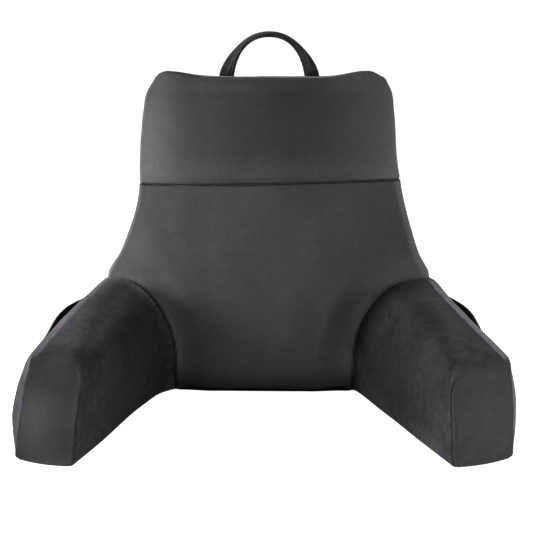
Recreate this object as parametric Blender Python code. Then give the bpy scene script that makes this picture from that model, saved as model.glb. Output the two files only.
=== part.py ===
"""Reading pillow with arms: a wedge-shaped back with its own head section, two splayed arms,
a carry handle on top and an open pocket on the outer side of each arm.

Metres, +Z up. The pillow faces -Y. The origin is on the floor, in the middle of the back's base.
Every filled piece is a closed form of sections: each section is a ring of points with four sides,
so the first and last rings are closed with a grid of quads.
"""

import math
from collections import namedtuple

import bmesh
import bpy
import numpy as np
from mathutils import Vector
from mathutils.bvhtree import BVHTree

# ---- Driving sizes ----
LEAN = math.radians(12)  # the front leans back this far from upright
BASE_DEPTH = 0.20  # the back, front to rear, on the floor
FOOT_Y = -BASE_DEPTH / 2  # where the front meets the floor
CLEAR = 0.0003  # gap that is left between two pieces sewn together

SEAM_HEIGHT = 0.3225  # the seam under the head section, at mid-width
SEAM_TILT = 0.030  # it climbs to the right by this share of the width
SEAM_SWEEP = 0.10  # and its left end turns up again, per metre of width
CORNER_HEIGHT = 0.484  # the top corners, where the side edge turns into the top edge
EAR_RISE = 0.0105  # the filling stands the corners up over the middle of the top edge
EAR_PLACE = 0.160
EAR_OUTWARD = 0.018  # how fast an ear falls to the corner
EAR_INWARD = 0.046  # and to the middle

BACK_CROWN = 0.014  # how far the filling pushes the front of the back out
HEAD_CROWN = 0.018
SEAM_CROWN = 0.006  # what is left of it at the seam between the two
SEAM_FADE = 0.045  # the back's crown dies away this close to it, and the head section's
HEAD_SEAM_FADE = 0.022
REAR_CROWN = 0.010
TOP_CROWN = 0.006
FRONT_ROLL = 0.008  # radius of the front's bottom edge
FLOOR_ROLL = 0.008  # radius of the other edges on the floor
ARM_FLOOR_ROLL = 0.005
FLAT_MARGIN = 0.020  # the front stays flat this far outside each arm's root
FLAT_FADE = 0.050

FACE_CROWN = 0.006  # the arm's front face
FACE_BOW = 0.008  # its foot bows forward between the corners
FACE_ROLL = 0.004  # radius of its sewn edges
TOP_FOLD = {"left": 0.018, "right": 0.014}  # radius of the soft fold over its top
ARM_PUFF = 0.005  # the arm swells this much out of its root seam
PUFF_LENGTH = 0.012
BULGE_FADE = 0.030  # the outer side is drawn flat this close to the front face's seam

STRAP_WIDTH = 0.024
STRAP_THICK = 0.0075
STRAP_HALF_SPAN = 0.068  # middle of each foot of the handle
STRAP_TOP = 0.5505  # middle of the strap at its highest point
STRAP_MIDDLE = 0.0015
STRAP_Y = 0.024
STRAP_LEAN = 0.09  # the legs lean in by this share on their way up
STRAP_TURN = math.radians(12), math.radians(86)  # out of the front: at the feet, at the top
STRAP_SEAT = 0.0004  # gap under the feet

POCKET_THICK = 0.0020
BINDING_THICK = 0.0030
BINDING_TALL = 0.010
POCKET_OFF = 0.0006  # the pocket's sewn edges stand this far off the arm
POCKET_GAPE = 0.015  # how far its mouth stands open where it is widest
POCKET_WIDEST = 0.7  # below 1 the widest place is nearer to the root
POCKET_ENDS = {"left": (0.12, 0.76), "right": (0.12, 0.70)}  # as shares of the arm's length
POCKET_FLOOR = 0.86  # its bottom seam, as a share of the way down the arm's side
POCKET_MOUTH = 0.170

# ---- Counts of faces ----
FRONT_COUNT = 34
SIDE_COUNT = 5
ARM_SIDE_COUNT = 7
ARM_TOP_COUNT = 7
STRAP_COUNT = 32
STRAP_WIDE = 4
POCKET_COLUMNS = 18
POCKET_ROWS = 8
BINDING_ROWS = 2

# ---- Where the sections lie, closer together towards the seams ----
BACK_SECTIONS = [0, 0.004, 0.012, 0.030, 0.058, 0.090, 0.122, 0.154]
BACK_SECTIONS += [0.184, 0.212, 0.240, 0.268, 0.292, 0.309, 0.318]
HEAD_SECTIONS = [0, 0.025, 0.09, 0.22, 0.40, 0.58, 0.75, 0.88, 0.96, 1.0]
ARM_SECTIONS = [0, 0.03, 0.07, 0.14, 0.24, 0.36, 0.48, 0.60, 0.72, 0.83, 0.92, 0.955, 0.98, 0.994, 1.0]

# ---- Colours, as the cloth looks in even light ----
VELOUR = (0.066, 0.063, 0.065)
VELOUR_HEAD = (0.082, 0.079, 0.081)
VELOUR_ARM = (0.052, 0.050, 0.053)
VELOUR_STRAP = (0.054, 0.052, 0.053)
VELOUR_POCKET = (0.058, 0.055, 0.058)
DARK_TAPE = (0.010, 0.0095, 0.010)

# ---- Sections of the back and the head section, from the floor up ----
# left, right: half-widths of the front's edge seam; rear: half-width of the rear panel;
# depth: front to rear; tilt: degrees that the section slopes down to the rear
Level = namedtuple("Level", "height left right rear depth tilt bulge")
LEVELS = [
    Level(0.000, 0.283, 0.283, 0.250, 0.200, 0.0, 0.006),
    Level(0.060, 0.280, 0.280, 0.246, 0.196, 1.0, 0.008),
    Level(0.120, 0.270, 0.271, 0.240, 0.190, 3.0, 0.010),
    Level(0.183, 0.2505, 0.2545, 0.229, 0.180, 4.5, 0.010),
    Level(0.209, 0.2345, 0.2405, 0.221, 0.172, 5.0, 0.010),
    Level(0.247, 0.219, 0.2270, 0.211, 0.164, 6.0, 0.010),
    Level(0.296, 0.204, 0.2135, 0.202, 0.152, 7.0, 0.009),
    Level(0.321, 0.202, 0.2085, 0.199, 0.146, 8.0, 0.008),
    Level(0.358, 0.202, 0.203, 0.196, 0.138, 9.0, 0.008),
    Level(0.395, 0.201, 0.201, 0.193, 0.130, 10.0, 0.008),
    Level(0.431, 0.197, 0.1985, 0.188, 0.120, 11.0, 0.008),
    Level(0.468, 0.188, 0.193, 0.179, 0.108, 12.0, 0.007),
    Level(0.484, 0.1755, 0.1845, 0.168, 0.104, 12.0, 0.006),
]

# ---- Sections of the arms, from the root to the front face ----
# Across and forward of the back's foot, for the inner floor edge (in), the outer floor edge (out)
# and the outer edge seam on top (edge), whose height is edge_z. square: 2 is round, more is boxy.
# upright: share of the height where the inner side starts to curve. lean: how far the inner side
# leans in over the seat at its top. crown: how high the top stands over the edge seam.
# bulge: how far the outer side is pushed out.
ARM_COLUMNS = "share in_x in_reach out_x out_reach edge_x edge_reach edge_z square upright lean crown bulge"
Arm = namedtuple("Arm", ARM_COLUMNS)
ARMS = {
    "left": [
        Arm(0.00, 0.145, 0.000, 0.283, 0.000, 0.2555, -0.0374, 0.176, 2.0, 0.26, 0.000, 0.000, 0.008),
        Arm(0.08, 0.163, 0.018, 0.289, 0.020, 0.2590, -0.014, 0.177, 2.0, 0.20, 0.004, 0.002, 0.009),
        Arm(0.25, 0.188, 0.075, 0.302, 0.066, 0.2685, 0.037, 0.1757, 2.1, 0.10, 0.010, 0.005, 0.012),
        Arm(0.50, 0.212, 0.150, 0.319, 0.136, 0.2860, 0.112, 0.1687, 2.35, 0.00, 0.017, 0.008, 0.016),
        Arm(0.75, 0.234, 0.228, 0.334, 0.209, 0.3030, 0.187, 0.1587, 3.0, 0.00, 0.018, 0.010, 0.019),
        Arm(1.00, 0.260, 0.307, 0.347, 0.279, 0.3215, 0.266, 0.1430, 6.0, 0.00, 0.010, 0.010, 0.0245),
    ],
    "right": [
        Arm(0.00, 0.137, 0.000, 0.283, 0.000, 0.2575, -0.0378, 0.178, 2.0, 0.26, 0.000, 0.000, 0.008),
        Arm(0.08, 0.146, 0.018, 0.289, 0.020, 0.2625, -0.017, 0.180, 2.0, 0.20, 0.003, 0.002, 0.009),
        Arm(0.25, 0.169, 0.076, 0.303, 0.066, 0.2725, 0.034, 0.1753, 2.1, 0.10, 0.008, 0.005, 0.011),
        Arm(0.50, 0.200, 0.152, 0.321, 0.134, 0.2915, 0.107, 0.1657, 2.35, 0.00, 0.014, 0.008, 0.013),
        Arm(0.75, 0.229, 0.226, 0.339, 0.201, 0.3140, 0.182, 0.1564, 3.2, 0.00, 0.010, 0.008, 0.0145),
        Arm(1.00, 0.260, 0.301, 0.350, 0.261, 0.3435, 0.252, 0.1400, 8.0, 0.00, 0.001, 0.003, 0.0155),
    ],
}
SIDES = {"left": -1, "right": 1}


def smooth(table, column, at):
    """A column of a table at one key, on a smooth curve through the rows."""
    keys = np.array([row[0] for row in table])
    values = np.array([getattr(row, column) for row in table])
    slopes = np.gradient(values, keys)
    i = int(np.clip(np.searchsorted(keys, at) - 1, 0, len(keys) - 2))
    step = keys[i + 1] - keys[i]
    t = (np.clip(at, keys[0], keys[-1]) - keys[i]) / step
    start = (1 + 2 * t) * (1 - t) ** 2 * values[i] + t * (1 - t) ** 2 * step * slopes[i]
    end = t * t * (3 - 2 * t) * values[i + 1] - t * t * (1 - t) * step * slopes[i + 1]
    return float(start + end)


def ramp(value):
    """0 below 0, 1 above 1, and an even rise between."""
    t = min(max(value, 0.0), 1.0)
    return t * t * (3 - 2 * t)


def rolled(distance, radius):
    """How far an edge that is rounded to a radius is drawn in, at a distance from it."""
    short = max(radius - distance, 0.0)
    return radius - math.sqrt(radius * radius - short * short)


def crowded(count):
    """Shares from 0 to 1, even but for two narrow steps at each end, where the panel rolls into its seam."""
    ends = np.array([0, 0.010, 0.030])
    return np.concatenate([ends, np.linspace(0.062, 0.938, count - 5), 1 - ends[::-1]])


def resampled(points, count):
    """The same path with evenly spaced points."""
    steps = np.linalg.norm(np.diff(points, axis=0), axis=1)
    length = np.concatenate([[0], np.cumsum(steps)])
    at = np.linspace(0, length[-1], count + 1)
    return np.stack([np.interp(at, length, points[:, k]) for k in range(3)], axis=1)


# ---- Closed forms ----
def cap_grid(ring, wide, tall, swell):
    """Points over a ring whose sides have wide, tall, wide and tall faces. swell(u, v) moves them."""
    low = ring[: wide + 1]
    right = ring[wide : wide + tall + 1]
    high = ring[wide + tall : 2 * wide + tall + 1][::-1]
    left = np.concatenate([ring[2 * wide + tall :], ring[:1]])[::-1]
    grid = np.zeros((tall + 1, wide + 1, 3))
    for j in range(tall + 1):
        v = j / tall
        for i in range(wide + 1):
            u = i / wide
            edges = (1 - v) * low[i] + v * high[i] + (1 - u) * left[j] + u * right[j]
            corners = (1 - u) * ((1 - v) * low[0] + v * high[0]) + u * ((1 - v) * low[-1] + v * high[-1])
            grid[j, i] = edges - corners + swell(u, v)
    return grid


def flat_cap(u, v):
    return np.zeros(3)


def loft(name, rings, wide, tall, first_swell=flat_cap, last_swell=flat_cap):
    """An object from rings of points, closed at both ends with grids of quads."""
    mesh = bmesh.new()
    rows = [[mesh.verts.new(Vector(p)) for p in ring] for ring in rings]
    count = len(rows[0])
    for lower, upper in zip(rows, rows[1:]):
        for i in range(count):
            j = (i + 1) % count
            mesh.faces.new((lower[i], lower[j], upper[j], upper[i]))
    for row, ring, swell in ((rows[0], rings[0], first_swell), (rows[-1], rings[-1], last_swell)):
        add_cap(mesh, row, cap_grid(np.array(ring), wide, tall, swell), wide, tall)
    bmesh.ops.recalc_face_normals(mesh, faces=mesh.faces)
    return add_object(name, mesh)


def add_cap(mesh, row, grid, wide, tall):
    """Closes a ring with a grid; its outer points are the ring's own."""
    count = len(row)

    def vertex(i, j):
        if j == 0:
            return row[i]
        if i == wide:
            return row[wide + j]
        if j == tall:
            return row[2 * wide + tall - i]
        if i == 0:
            return row[(count - j) % count]
        return inner[i, j]

    inner = {}
    for j in range(1, tall):
        for i in range(1, wide):
            inner[i, j] = mesh.verts.new(Vector(grid[j, i]))
    for j in range(tall):
        for i in range(wide):
            mesh.faces.new((vertex(i, j), vertex(i + 1, j), vertex(i + 1, j + 1), vertex(i, j + 1)))


def add_object(name, mesh):
    data = bpy.data.meshes.new(name)
    mesh.to_mesh(data)
    mesh.free()
    data.shade_smooth()
    data.set_sharp_from_angle(angle=math.radians(50))
    thing = bpy.data.objects.new(name, data)
    bpy.context.scene.collection.objects.link(thing)
    return thing


# ---- The back and the head section ----
def seam_height(x):
    """Height of the head seam across the front."""
    return SEAM_HEIGHT + SEAM_TILT * x + (SEAM_SWEEP * x * x if x < 0 else 0)


def top_height(x):
    """Height of the top edge: the corners stand up and the middle sags."""
    spread = EAR_OUTWARD if abs(x) > EAR_PLACE else EAR_INWARD
    return CORNER_HEIGHT + EAR_RISE * math.exp(-(((abs(x) - EAR_PLACE) / spread) ** 2))


def flat_share(x, z):
    """0 where an arm is sewn on, 1 well clear of it: the share of the crown that the front has."""
    root = ARMS["left" if x < 0 else "right"][0]
    inward = max(root.edge_x - abs(x), 0) / (root.edge_x - root.in_x)
    outside = math.hypot(inward, z / root.edge_z) - 1
    return ramp((outside * root.in_x - FLAT_MARGIN) / FLAT_FADE)


def front_point(x, z, crown):
    """A point on the leaning front, pushed out by a crown."""
    share = flat_share(x, z)
    drawn_in = rolled(z, FRONT_ROLL) if z < FRONT_ROLL else 0.0
    return np.array([x, FOOT_Y + z * math.tan(LEAN) - share * (crown - drawn_in), z])


def trunk_ring(level, row_height, crown_at):
    """One section: the front from left to right, the right side, the rear, the left side."""
    left, right = smooth(LEVELS, "left", level), smooth(LEVELS, "right", level)
    rear, depth = smooth(LEVELS, "rear", level), smooth(LEVELS, "depth", level)
    bulge, tilt = smooth(LEVELS, "bulge", level), math.radians(smooth(LEVELS, "tilt", level))
    across = crowded(FRONT_COUNT)
    front = []
    for share in across:
        x = -left + (left + right) * share
        front.append(front_point(x, row_height(x), crown_at(2 * share - 1)))
    back = np.array([0, depth * math.cos(tilt), -depth * math.sin(tilt)])
    rear_points = []
    for share, base in zip(across, front):
        x = rear * (2 * share - 1)
        edge = np.array([x, FOOT_Y + base[2] * math.tan(LEAN), base[2]]) + back
        edge[1] += REAR_CROWN * (1 - (2 * share - 1) ** 2)
        rear_points.append(edge)
    sides = []
    for start, end, sign in ((front[-1], rear_points[-1], 1), (rear_points[0], front[0], -1)):
        for k in range(1, SIDE_COUNT):
            share = k / SIDE_COUNT
            out = np.array([sign * bulge * math.sin(math.pi * share), 0, 0])
            sides.append((1 - share) * start + share * end + out)
    ring = front + sides[: SIDE_COUNT - 1] + rear_points[::-1] + sides[SIDE_COUNT - 1 :]
    return [np.array([p[0], p[1], max(p[2], 0.0)]) for p in ring]


def drawn_in_at_floor(ring, height, radius):
    """The ring, pulled in towards its middle where the edge on the floor is rounded."""
    middle = np.mean(ring, axis=0)
    pull = rolled(height, radius)
    moved = []
    for p in ring:
        if flat_share(p[0], p[2]) == 0 and p[1] < FOOT_Y + p[2] * math.tan(LEAN) + CLEAR:
            moved.append(p)
            continue
        out = np.array([p[0] - middle[0], (p[1] - middle[1]) if p[1] > middle[1] else 0, 0])
        moved.append(p - pull * out / max(np.linalg.norm(out), 1e-9))
    return moved


def make_back():
    """The lower section, from the floor to the head seam."""
    rings = []
    for share in [height / SEAM_HEIGHT for height in BACK_SECTIONS] + [1.0]:
        level = share * SEAM_HEIGHT
        swell = SEAM_CROWN + (BACK_CROWN - SEAM_CROWN) * ramp((SEAM_HEIGHT - level) / SEAM_FADE)

        def row_height(x):
            tilted = ramp((share - 0.6) / 0.4)
            last = CLEAR / 2 if share == 1.0 else 0
            return level + tilted * (seam_height(x) - SEAM_HEIGHT) - last

        def crown_at(across):
            return swell * (1 - abs(across) ** 2.6)

        rings.append(drawn_in_at_floor(trunk_ring(level, row_height, crown_at), level, FLOOR_ROLL))
    return loft("back_section", rings, FRONT_COUNT, SIDE_COUNT)


def make_head():
    """The upper section, from the head seam to the top edge."""
    rings = []
    for share in HEAD_SECTIONS:
        level = SEAM_HEIGHT + share * (CORNER_HEIGHT - SEAM_HEIGHT)
        low = ramp((level - SEAM_HEIGHT) / HEAD_SEAM_FADE)
        swell = SEAM_CROWN + (HEAD_CROWN - SEAM_CROWN) * low
        swell *= math.sqrt(max(1 - share**5, 0))

        def row_height(x):
            first = CLEAR / 2 if share == 0 else 0
            return (1 - share) * seam_height(x) + share * top_height(x) + first

        def crown_at(across):
            return swell * (1 - abs(across) ** 3.0)

        rings.append(trunk_ring(level, row_height, crown_at))

    def top_swell(u, v):
        lift = TOP_CROWN * 16 * u * (1 - u) * v * (1 - v)
        return np.array([0, lift * math.sin(LEAN), lift * math.cos(LEAN)])

    return loft("head_section", rings, FRONT_COUNT, SIDE_COUNT, last_swell=top_swell)


# ---- The arms ----
def arm_corners(side, share):
    """The inner floor edge, the outer floor edge and the edge seam at a share of the arm's length."""
    rows, sign = ARMS[side], SIDES[side]

    def place(name, z):
        x, reach = smooth(rows, name + "_x", share), smooth(rows, name + "_reach", share)
        return np.array([sign * x, FOOT_Y - reach, z])

    edge_z = smooth(rows, "edge_z", share)
    return place("in", 0.0), place("out", 0.0), place("edge", edge_z)


def side_point(side, share, down):
    """A point on the arm's outer side, from the edge seam (down = 0) to the floor (down = 1)."""
    inner, outer, edge = arm_corners(side, share)
    to_face = (1 - share) * arm_length(side)
    bulge = smooth(ARMS[side], "bulge", share) * ramp(to_face / BULGE_FADE + 0.18)
    full = math.sqrt(max(math.sin(math.pi * down), 0))
    return (1 - down) * edge + down * outer + bulge * full * outward(side, share)


def outward(side, share):
    """Across the arm, level, from its inner side to its outer side."""
    inner, outer, edge = arm_corners(side, share)
    return (outer - inner) / np.linalg.norm(outer - inner)


def arm_length(side):
    return np.linalg.norm(arm_corners(side, 1)[0] - arm_corners(side, 0)[0])


def cover_curve(side, share, puff):
    """Up the inner side and over the top to the edge seam: points that are close together."""
    inner, outer, edge = arm_corners(side, share)
    line = outward(side, share)
    power = 2 / smooth(ARMS[side], "square", share)
    upright, lean, crown = (smooth(ARMS[side], name, share) for name in ("upright", "lean", "crown"))
    foot = inner + line * np.dot(edge - inner, line)
    up = edge - foot
    curve = [inner + up * upright * k / 60 for k in range(60)]
    for angle in np.linspace(0, math.pi / 2, 241):
        rise = upright + (1 - upright) * math.sin(angle) ** power
        lifted = math.sin(2 * angle) ** 0.9 if 0 < angle < 1.57 else 0.0
        shift = (crown + 0.7 * puff) * np.array([0, 0, 1]) - (lean + 0.7 * puff) * line
        sideways = (foot - inner) * (1 - math.cos(angle) ** power)
        curve.append(inner + sideways + up * rise + lifted * shift)
    return np.array(curve)


def arm_ring(side, share, pull_in, top_pull, puff):
    """One section: up the inner side, over the top to the edge seam, down the outer side, along the floor."""
    inner, outer, edge = arm_corners(side, share)
    line = outward(side, share)
    forward = np.array([line[1], -line[0], 0]) * SIDES[side]
    evenly = resampled(cover_curve(side, share, puff), ARM_SIDE_COUNT + ARM_TOP_COUNT)
    outside = [side_point(side, share, k / ARM_SIDE_COUNT) for k in range(1, ARM_SIDE_COUNT + 1)]
    width, middle = np.linalg.norm(outer - inner), (inner + outer) / 2
    narrower, lower = 2 * pull_in / width, top_pull / max(p[2] for p in evenly)
    floor_roll = ARM_FLOOR_ROLL if share > 0 else 0.0
    path = []
    for index, p in enumerate(np.concatenate([evenly, outside])):
        inward = line if index <= ARM_SIDE_COUNT + ARM_TOP_COUNT else -line
        q = p - narrower * np.dot(p - middle, line) * line + rolled(p[2], floor_roll) * inward
        path.append(np.array([q[0], q[1], max(p[2] * (1 - lower), 0.0)]))
    floor = [path[-1] + (path[0] - path[-1]) * k / ARM_TOP_COUNT for k in range(1, ARM_TOP_COUNT)]
    bow = FACE_BOW * ramp((share - 0.75) / 0.25)
    ring = []
    for p in path + floor:
        across = min(max(np.dot(p - inner, line) / width, 0), 1)
        ring.append(p + forward * bow * 4 * across * (1 - across))
    return ring


def make_arm(side):
    """One splayed arm, from its root seam on the back to its front face."""
    length = arm_length(side)
    rings = []
    for share in ARM_SECTIONS:
        to_face = (1 - share) * length
        puff = ARM_PUFF * (1 - math.exp(-share * length / PUFF_LENGTH))
        rings.append(arm_ring(side, share, rolled(to_face, FACE_ROLL), rolled(to_face, TOP_FOLD[side]), puff))
    for p in rings[0]:
        p[1] -= 2 * CLEAR
    inner, outer, edge = arm_corners(side, 1)
    forward = np.cross(outer - inner, edge - inner) * SIDES[side]
    forward = forward / np.linalg.norm(forward)

    def face_swell(up, across):
        return forward * FACE_CROWN * ramp(up / 0.35) * ramp((1 - up) / 0.55) * 4 * across * (1 - across)

    return loft("arm_" + side, rings, ARM_SIDE_COUNT, ARM_TOP_COUNT, last_swell=face_swell)


# ---- The carry handle ----
def strap_place(share, surface):
    """The middle of the strap, its width and its thickness directions, from the left foot to the right."""
    angle = math.pi * (1 - share)
    foot_z = surface(STRAP_MIDDLE + math.copysign(STRAP_HALF_SPAN, share - 0.5), STRAP_Y)

    def middle(at):
        half = STRAP_HALF_SPAN * (1 - STRAP_LEAN * math.sin(2 * at) * math.copysign(1, math.cos(at)))
        height = foot_z + (STRAP_TOP - foot_z) * math.sin(at)
        return np.array([STRAP_MIDDLE + half * math.cos(at), STRAP_Y, height])

    place = middle(angle)
    along = middle(angle - 0.01) - middle(angle + 0.01)
    along = along / np.linalg.norm(along)
    across = np.cross(along, [0, 1, 0])
    turn = STRAP_TURN[1] - (STRAP_TURN[1] - STRAP_TURN[0]) * (1 - math.sin(angle)) ** 1.7
    width = math.cos(turn) * across + math.sin(turn) * np.array([0, 1, 0])
    return place, width, np.cross(width, along)


def make_handle(head):
    """A flat strap in a loop. Its feet stand on the top seam and its middle is turned edge-on."""
    graph = bpy.context.evaluated_depsgraph_get()
    tree = BVHTree.FromObject(head, graph)

    def surface(x, y):
        hit = tree.ray_cast(Vector((x, y, 1.0)), Vector((0, 0, -1)))
        return hit[0].z

    rings = []
    for k in range(STRAP_COUNT + 1):
        place, width, thick = strap_place(k / STRAP_COUNT, surface)
        ring = []
        for row, back_row in ((-0.5, False), (0.5, True)):
            steps = range(STRAP_WIDE + 1)
            for i in reversed(steps) if back_row else steps:
                across = i / STRAP_WIDE - 0.5
                slim = 1 - 0.35 * (2 * abs(across)) ** 4
                ring.append(place + width * across * STRAP_WIDTH + thick * row * slim * STRAP_THICK)
        if k in (0, STRAP_COUNT):
            ring = [np.array([p[0], p[1], surface(p[0], p[1]) + STRAP_SEAT]) for p in ring]
        rings.append(ring)
    return loft("carry_handle", rings, STRAP_WIDE, 1)


# ---- The pockets ----
def pocket_point(side, along, up, off):
    """A point of the pocket. along and up: 0 to 1 over its cloth, up > 1 beyond its mouth."""
    first, last = POCKET_ENDS[side]
    share = first + (last - first) * along
    down = POCKET_FLOOR + (POCKET_MOUTH - POCKET_FLOOR) * up
    gape = POCKET_GAPE * max(up, 0) ** 1.2 * max(math.sin(math.pi * along**POCKET_WIDEST), 0)
    return side_point(side, share, down) + (POCKET_OFF + gape + off) * outward(side, share)


def sheet(name, near, far):
    """A closed sheet between two grids of points."""
    mesh = bmesh.new()
    tall, wide = len(near) - 1, len(near[0]) - 1
    layers = [[[mesh.verts.new(Vector(p)) for p in row] for row in grid] for grid in (near, far)]
    for layer in layers:
        for j in range(tall):
            for i in range(wide):
                mesh.faces.new((layer[j][i], layer[j][i + 1], layer[j + 1][i + 1], layer[j + 1][i]))
    rim = [(0, i) for i in range(wide)] + [(j, wide) for j in range(tall)]
    rim += [(tall, i) for i in range(wide, 0, -1)] + [(j, 0) for j in range(tall, 0, -1)]
    for a, b in zip(rim, rim[1:] + rim[:1]):
        low, high = layers
        mesh.faces.new((low[a[0]][a[1]], low[b[0]][b[1]], high[b[0]][b[1]], high[a[0]][a[1]]))
    bmesh.ops.recalc_face_normals(mesh, faces=mesh.faces)
    return add_object(name, mesh)


def make_pocket(side):
    """The patch of cloth, sewn on at its ends and its foot, that stands open at its mouth."""
    ups = [j / POCKET_ROWS for j in range(POCKET_ROWS + 1)]
    alongs = [i / POCKET_COLUMNS for i in range(POCKET_COLUMNS + 1)]
    near = [[pocket_point(side, a, u, 0) for a in alongs] for u in ups]
    far = [[pocket_point(side, a, u, POCKET_THICK) for a in alongs] for u in ups]
    return sheet("pocket_" + side, near, far)


def make_binding(side):
    """The dark tape that edges the mouth, in line with the pocket's cloth."""
    first, last = POCKET_ENDS[side]
    edge = arm_corners(side, (first + last) / 2)[2]
    per_metre = 1 / ((POCKET_FLOOR - POCKET_MOUTH) * edge[2])
    starts = 1 + CLEAR * 1.3 * per_metre
    ups = [starts + BINDING_TALL * per_metre * j / BINDING_ROWS for j in range(BINDING_ROWS + 1)]
    alongs = [i / POCKET_COLUMNS for i in range(POCKET_COLUMNS + 1)]
    near = [[pocket_point(side, a, u, 0) for a in alongs] for u in ups]
    far = [[pocket_point(side, a, u, BINDING_THICK) for a in alongs] for u in ups]
    return sheet("pocket_binding_" + side, near, far)


def coat(thing, name, colour, roughness):
    """Its own plain material."""
    material = bpy.data.materials.new(name)
    material.use_nodes = True
    shader = next(node for node in material.node_tree.nodes if node.type == "BSDF_PRINCIPLED")
    shader.inputs["Base Color"].default_value = (*colour, 1)
    shader.inputs["Roughness"].default_value = roughness
    shader.inputs["Metallic"].default_value = 0.0
    material.diffuse_color = (*colour, 1)
    thing.data.materials.append(material)


def clear_scene():
    for thing in list(bpy.data.objects):
        bpy.data.objects.remove(thing)


clear_scene()
coat(make_back(), "velour_back", VELOUR, 0.95)
head_section = make_head()
coat(head_section, "velour_head", VELOUR_HEAD, 0.95)
coat(make_handle(head_section), "velour_handle", VELOUR_STRAP, 0.95)
for arm_side in SIDES:
    coat(make_arm(arm_side), "velour_arm_" + arm_side, VELOUR_ARM, 0.95)
    coat(make_pocket(arm_side), "velour_pocket_" + arm_side, VELOUR_POCKET, 0.95)
    coat(make_binding(arm_side), "tape_" + arm_side, DARK_TAPE, 0.85)
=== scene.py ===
# %% [markdown]
# # Reading pillow with arms
# A reading pillow is a stuffed wedge that a reader leans on in bed. It has a broad back with a head
# section sewn on top of it, two arms that spread to the front, a carry strap, and a pocket on the
# outer side of each arm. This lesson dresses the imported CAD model. The filled parts become finely
# meshed covers that a cloth simulation blows up from inside, and the seams, puckers, nap and
# stitches go on after that.

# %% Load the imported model
import math
from collections import namedtuple

import bmesh
import bpy
import numpy as np
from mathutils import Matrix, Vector
from mathutils.bvhtree import BVHTree
from mathutils.kdtree import KDTree


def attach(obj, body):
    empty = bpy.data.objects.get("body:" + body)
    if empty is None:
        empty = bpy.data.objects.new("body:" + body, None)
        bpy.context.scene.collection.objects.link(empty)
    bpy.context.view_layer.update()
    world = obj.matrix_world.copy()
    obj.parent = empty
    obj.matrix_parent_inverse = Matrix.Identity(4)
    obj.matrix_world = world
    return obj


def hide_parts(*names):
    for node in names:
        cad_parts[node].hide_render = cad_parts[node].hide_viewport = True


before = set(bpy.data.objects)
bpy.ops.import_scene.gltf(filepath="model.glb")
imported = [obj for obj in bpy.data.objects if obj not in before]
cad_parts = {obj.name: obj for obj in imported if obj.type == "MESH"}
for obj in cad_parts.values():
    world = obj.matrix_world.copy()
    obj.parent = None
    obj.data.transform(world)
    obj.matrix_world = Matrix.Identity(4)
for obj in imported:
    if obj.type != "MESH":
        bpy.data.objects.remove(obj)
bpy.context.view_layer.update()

print("nodes:", sorted(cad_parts))

# %% [markdown]
# ## The camera
# The photographer stood two metres in front of the pillow and looked down a little. The lens is
# long, so the arms hardly grow towards the front. The numbers come from fitting the floor line,
# the foot of the back and the width of the arms to the solids.

# %% Stand the camera
def stand_camera():
    data = bpy.data.cameras.new("camera")
    data.sensor_width = 36.0
    data.lens = 89.93
    camera = bpy.data.objects.new("camera", data)
    camera.location = (0.0377, -2.10, 0.7417)
    camera.rotation_euler = (math.radians(90 - 15.04), 0.0, math.radians(1.094))
    bpy.context.scene.collection.objects.link(camera)
    bpy.context.scene.camera = camera
    return camera


camera = stand_camera()
print("camera at", tuple(camera.location))

# %% [markdown]
# ## The studio
# The picture is a plain product shot on white paper, with a large soft lamp low on the left.
# Velour is black between its hairs and pale on their tips, so it is the grazing light from the
# side that draws the edges of the head and the arms. A weaker lamp on the right does the same
# for the other edge. The room above is dim: with a bright ceiling the tops of the arms would
# come out pale, and on the real one they are as dark as its front.

# %% Light the studio
WALLS = 0.50  # brightness of the room at the height of the eye
CEILING = 0.10
WALLS_END, CEILING_STARTS = 0.02, 0.70  # how steeply one looks up to see them


def hang_lamp(name, place, target, size, power):
    data = bpy.data.lights.new(name, "AREA")
    data.shape = "DISK"
    data.size = size
    data.energy = power
    lamp = bpy.data.objects.new(name, data)
    lamp.location = place
    aim = Vector(target) - Vector(place)
    lamp.rotation_euler = aim.to_track_quat("-Z", "Y").to_euler()
    bpy.context.scene.collection.objects.link(lamp)
    return lamp


def light_studio():
    world = bpy.data.worlds.new("room")
    world.use_nodes = True
    nodes, links = world.node_tree.nodes, world.node_tree.links
    way = nodes.new("ShaderNodeTexCoord")
    height = nodes.new("ShaderNodeSeparateXYZ")
    links.new(way.outputs["Generated"], height.inputs[0])
    fade = nodes.new("ShaderNodeMapRange")
    for socket, value in zip(fade.inputs[1:5], (WALLS_END, CEILING_STARTS, WALLS, CEILING)):
        socket.default_value = value
    links.new(height.outputs["Z"], fade.inputs[0])
    links.new(fade.outputs[0], nodes["Background"].inputs["Strength"])
    nodes["Background"].inputs["Color"].default_value = (1.0, 1.0, 1.0, 1.0)
    bpy.context.scene.world = world
    hang_lamp("lamp left", (-2.2, -0.35, 0.70), (0.0, 0.0, 0.30), 0.9, 185.0)
    hang_lamp("lamp right", (2.3, -0.40, 0.70), (0.0, 0.0, 0.30), 0.9, 62.0)
    hang_lamp("lamp front", (-0.8, -2.6, 1.0), (0.0, 0.0, 0.25), 1.4, 15.0)
    bpy.context.scene.view_settings.view_transform = "Standard"


light_studio()
print("lamps:", [thing.name for thing in bpy.data.objects if thing.type == "LIGHT"])

# %% [markdown]
# ## Materials from small sums
# A material is a graph of nodes. Writing every Math node by hand hides what the graph says, so
# one small class stands for a number in the graph, and adding or multiplying two of them adds the
# Math node. Every other kind of node comes from one function, which sets its settings before its
# sockets, and which also builds the tree of the stitches further down.

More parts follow.
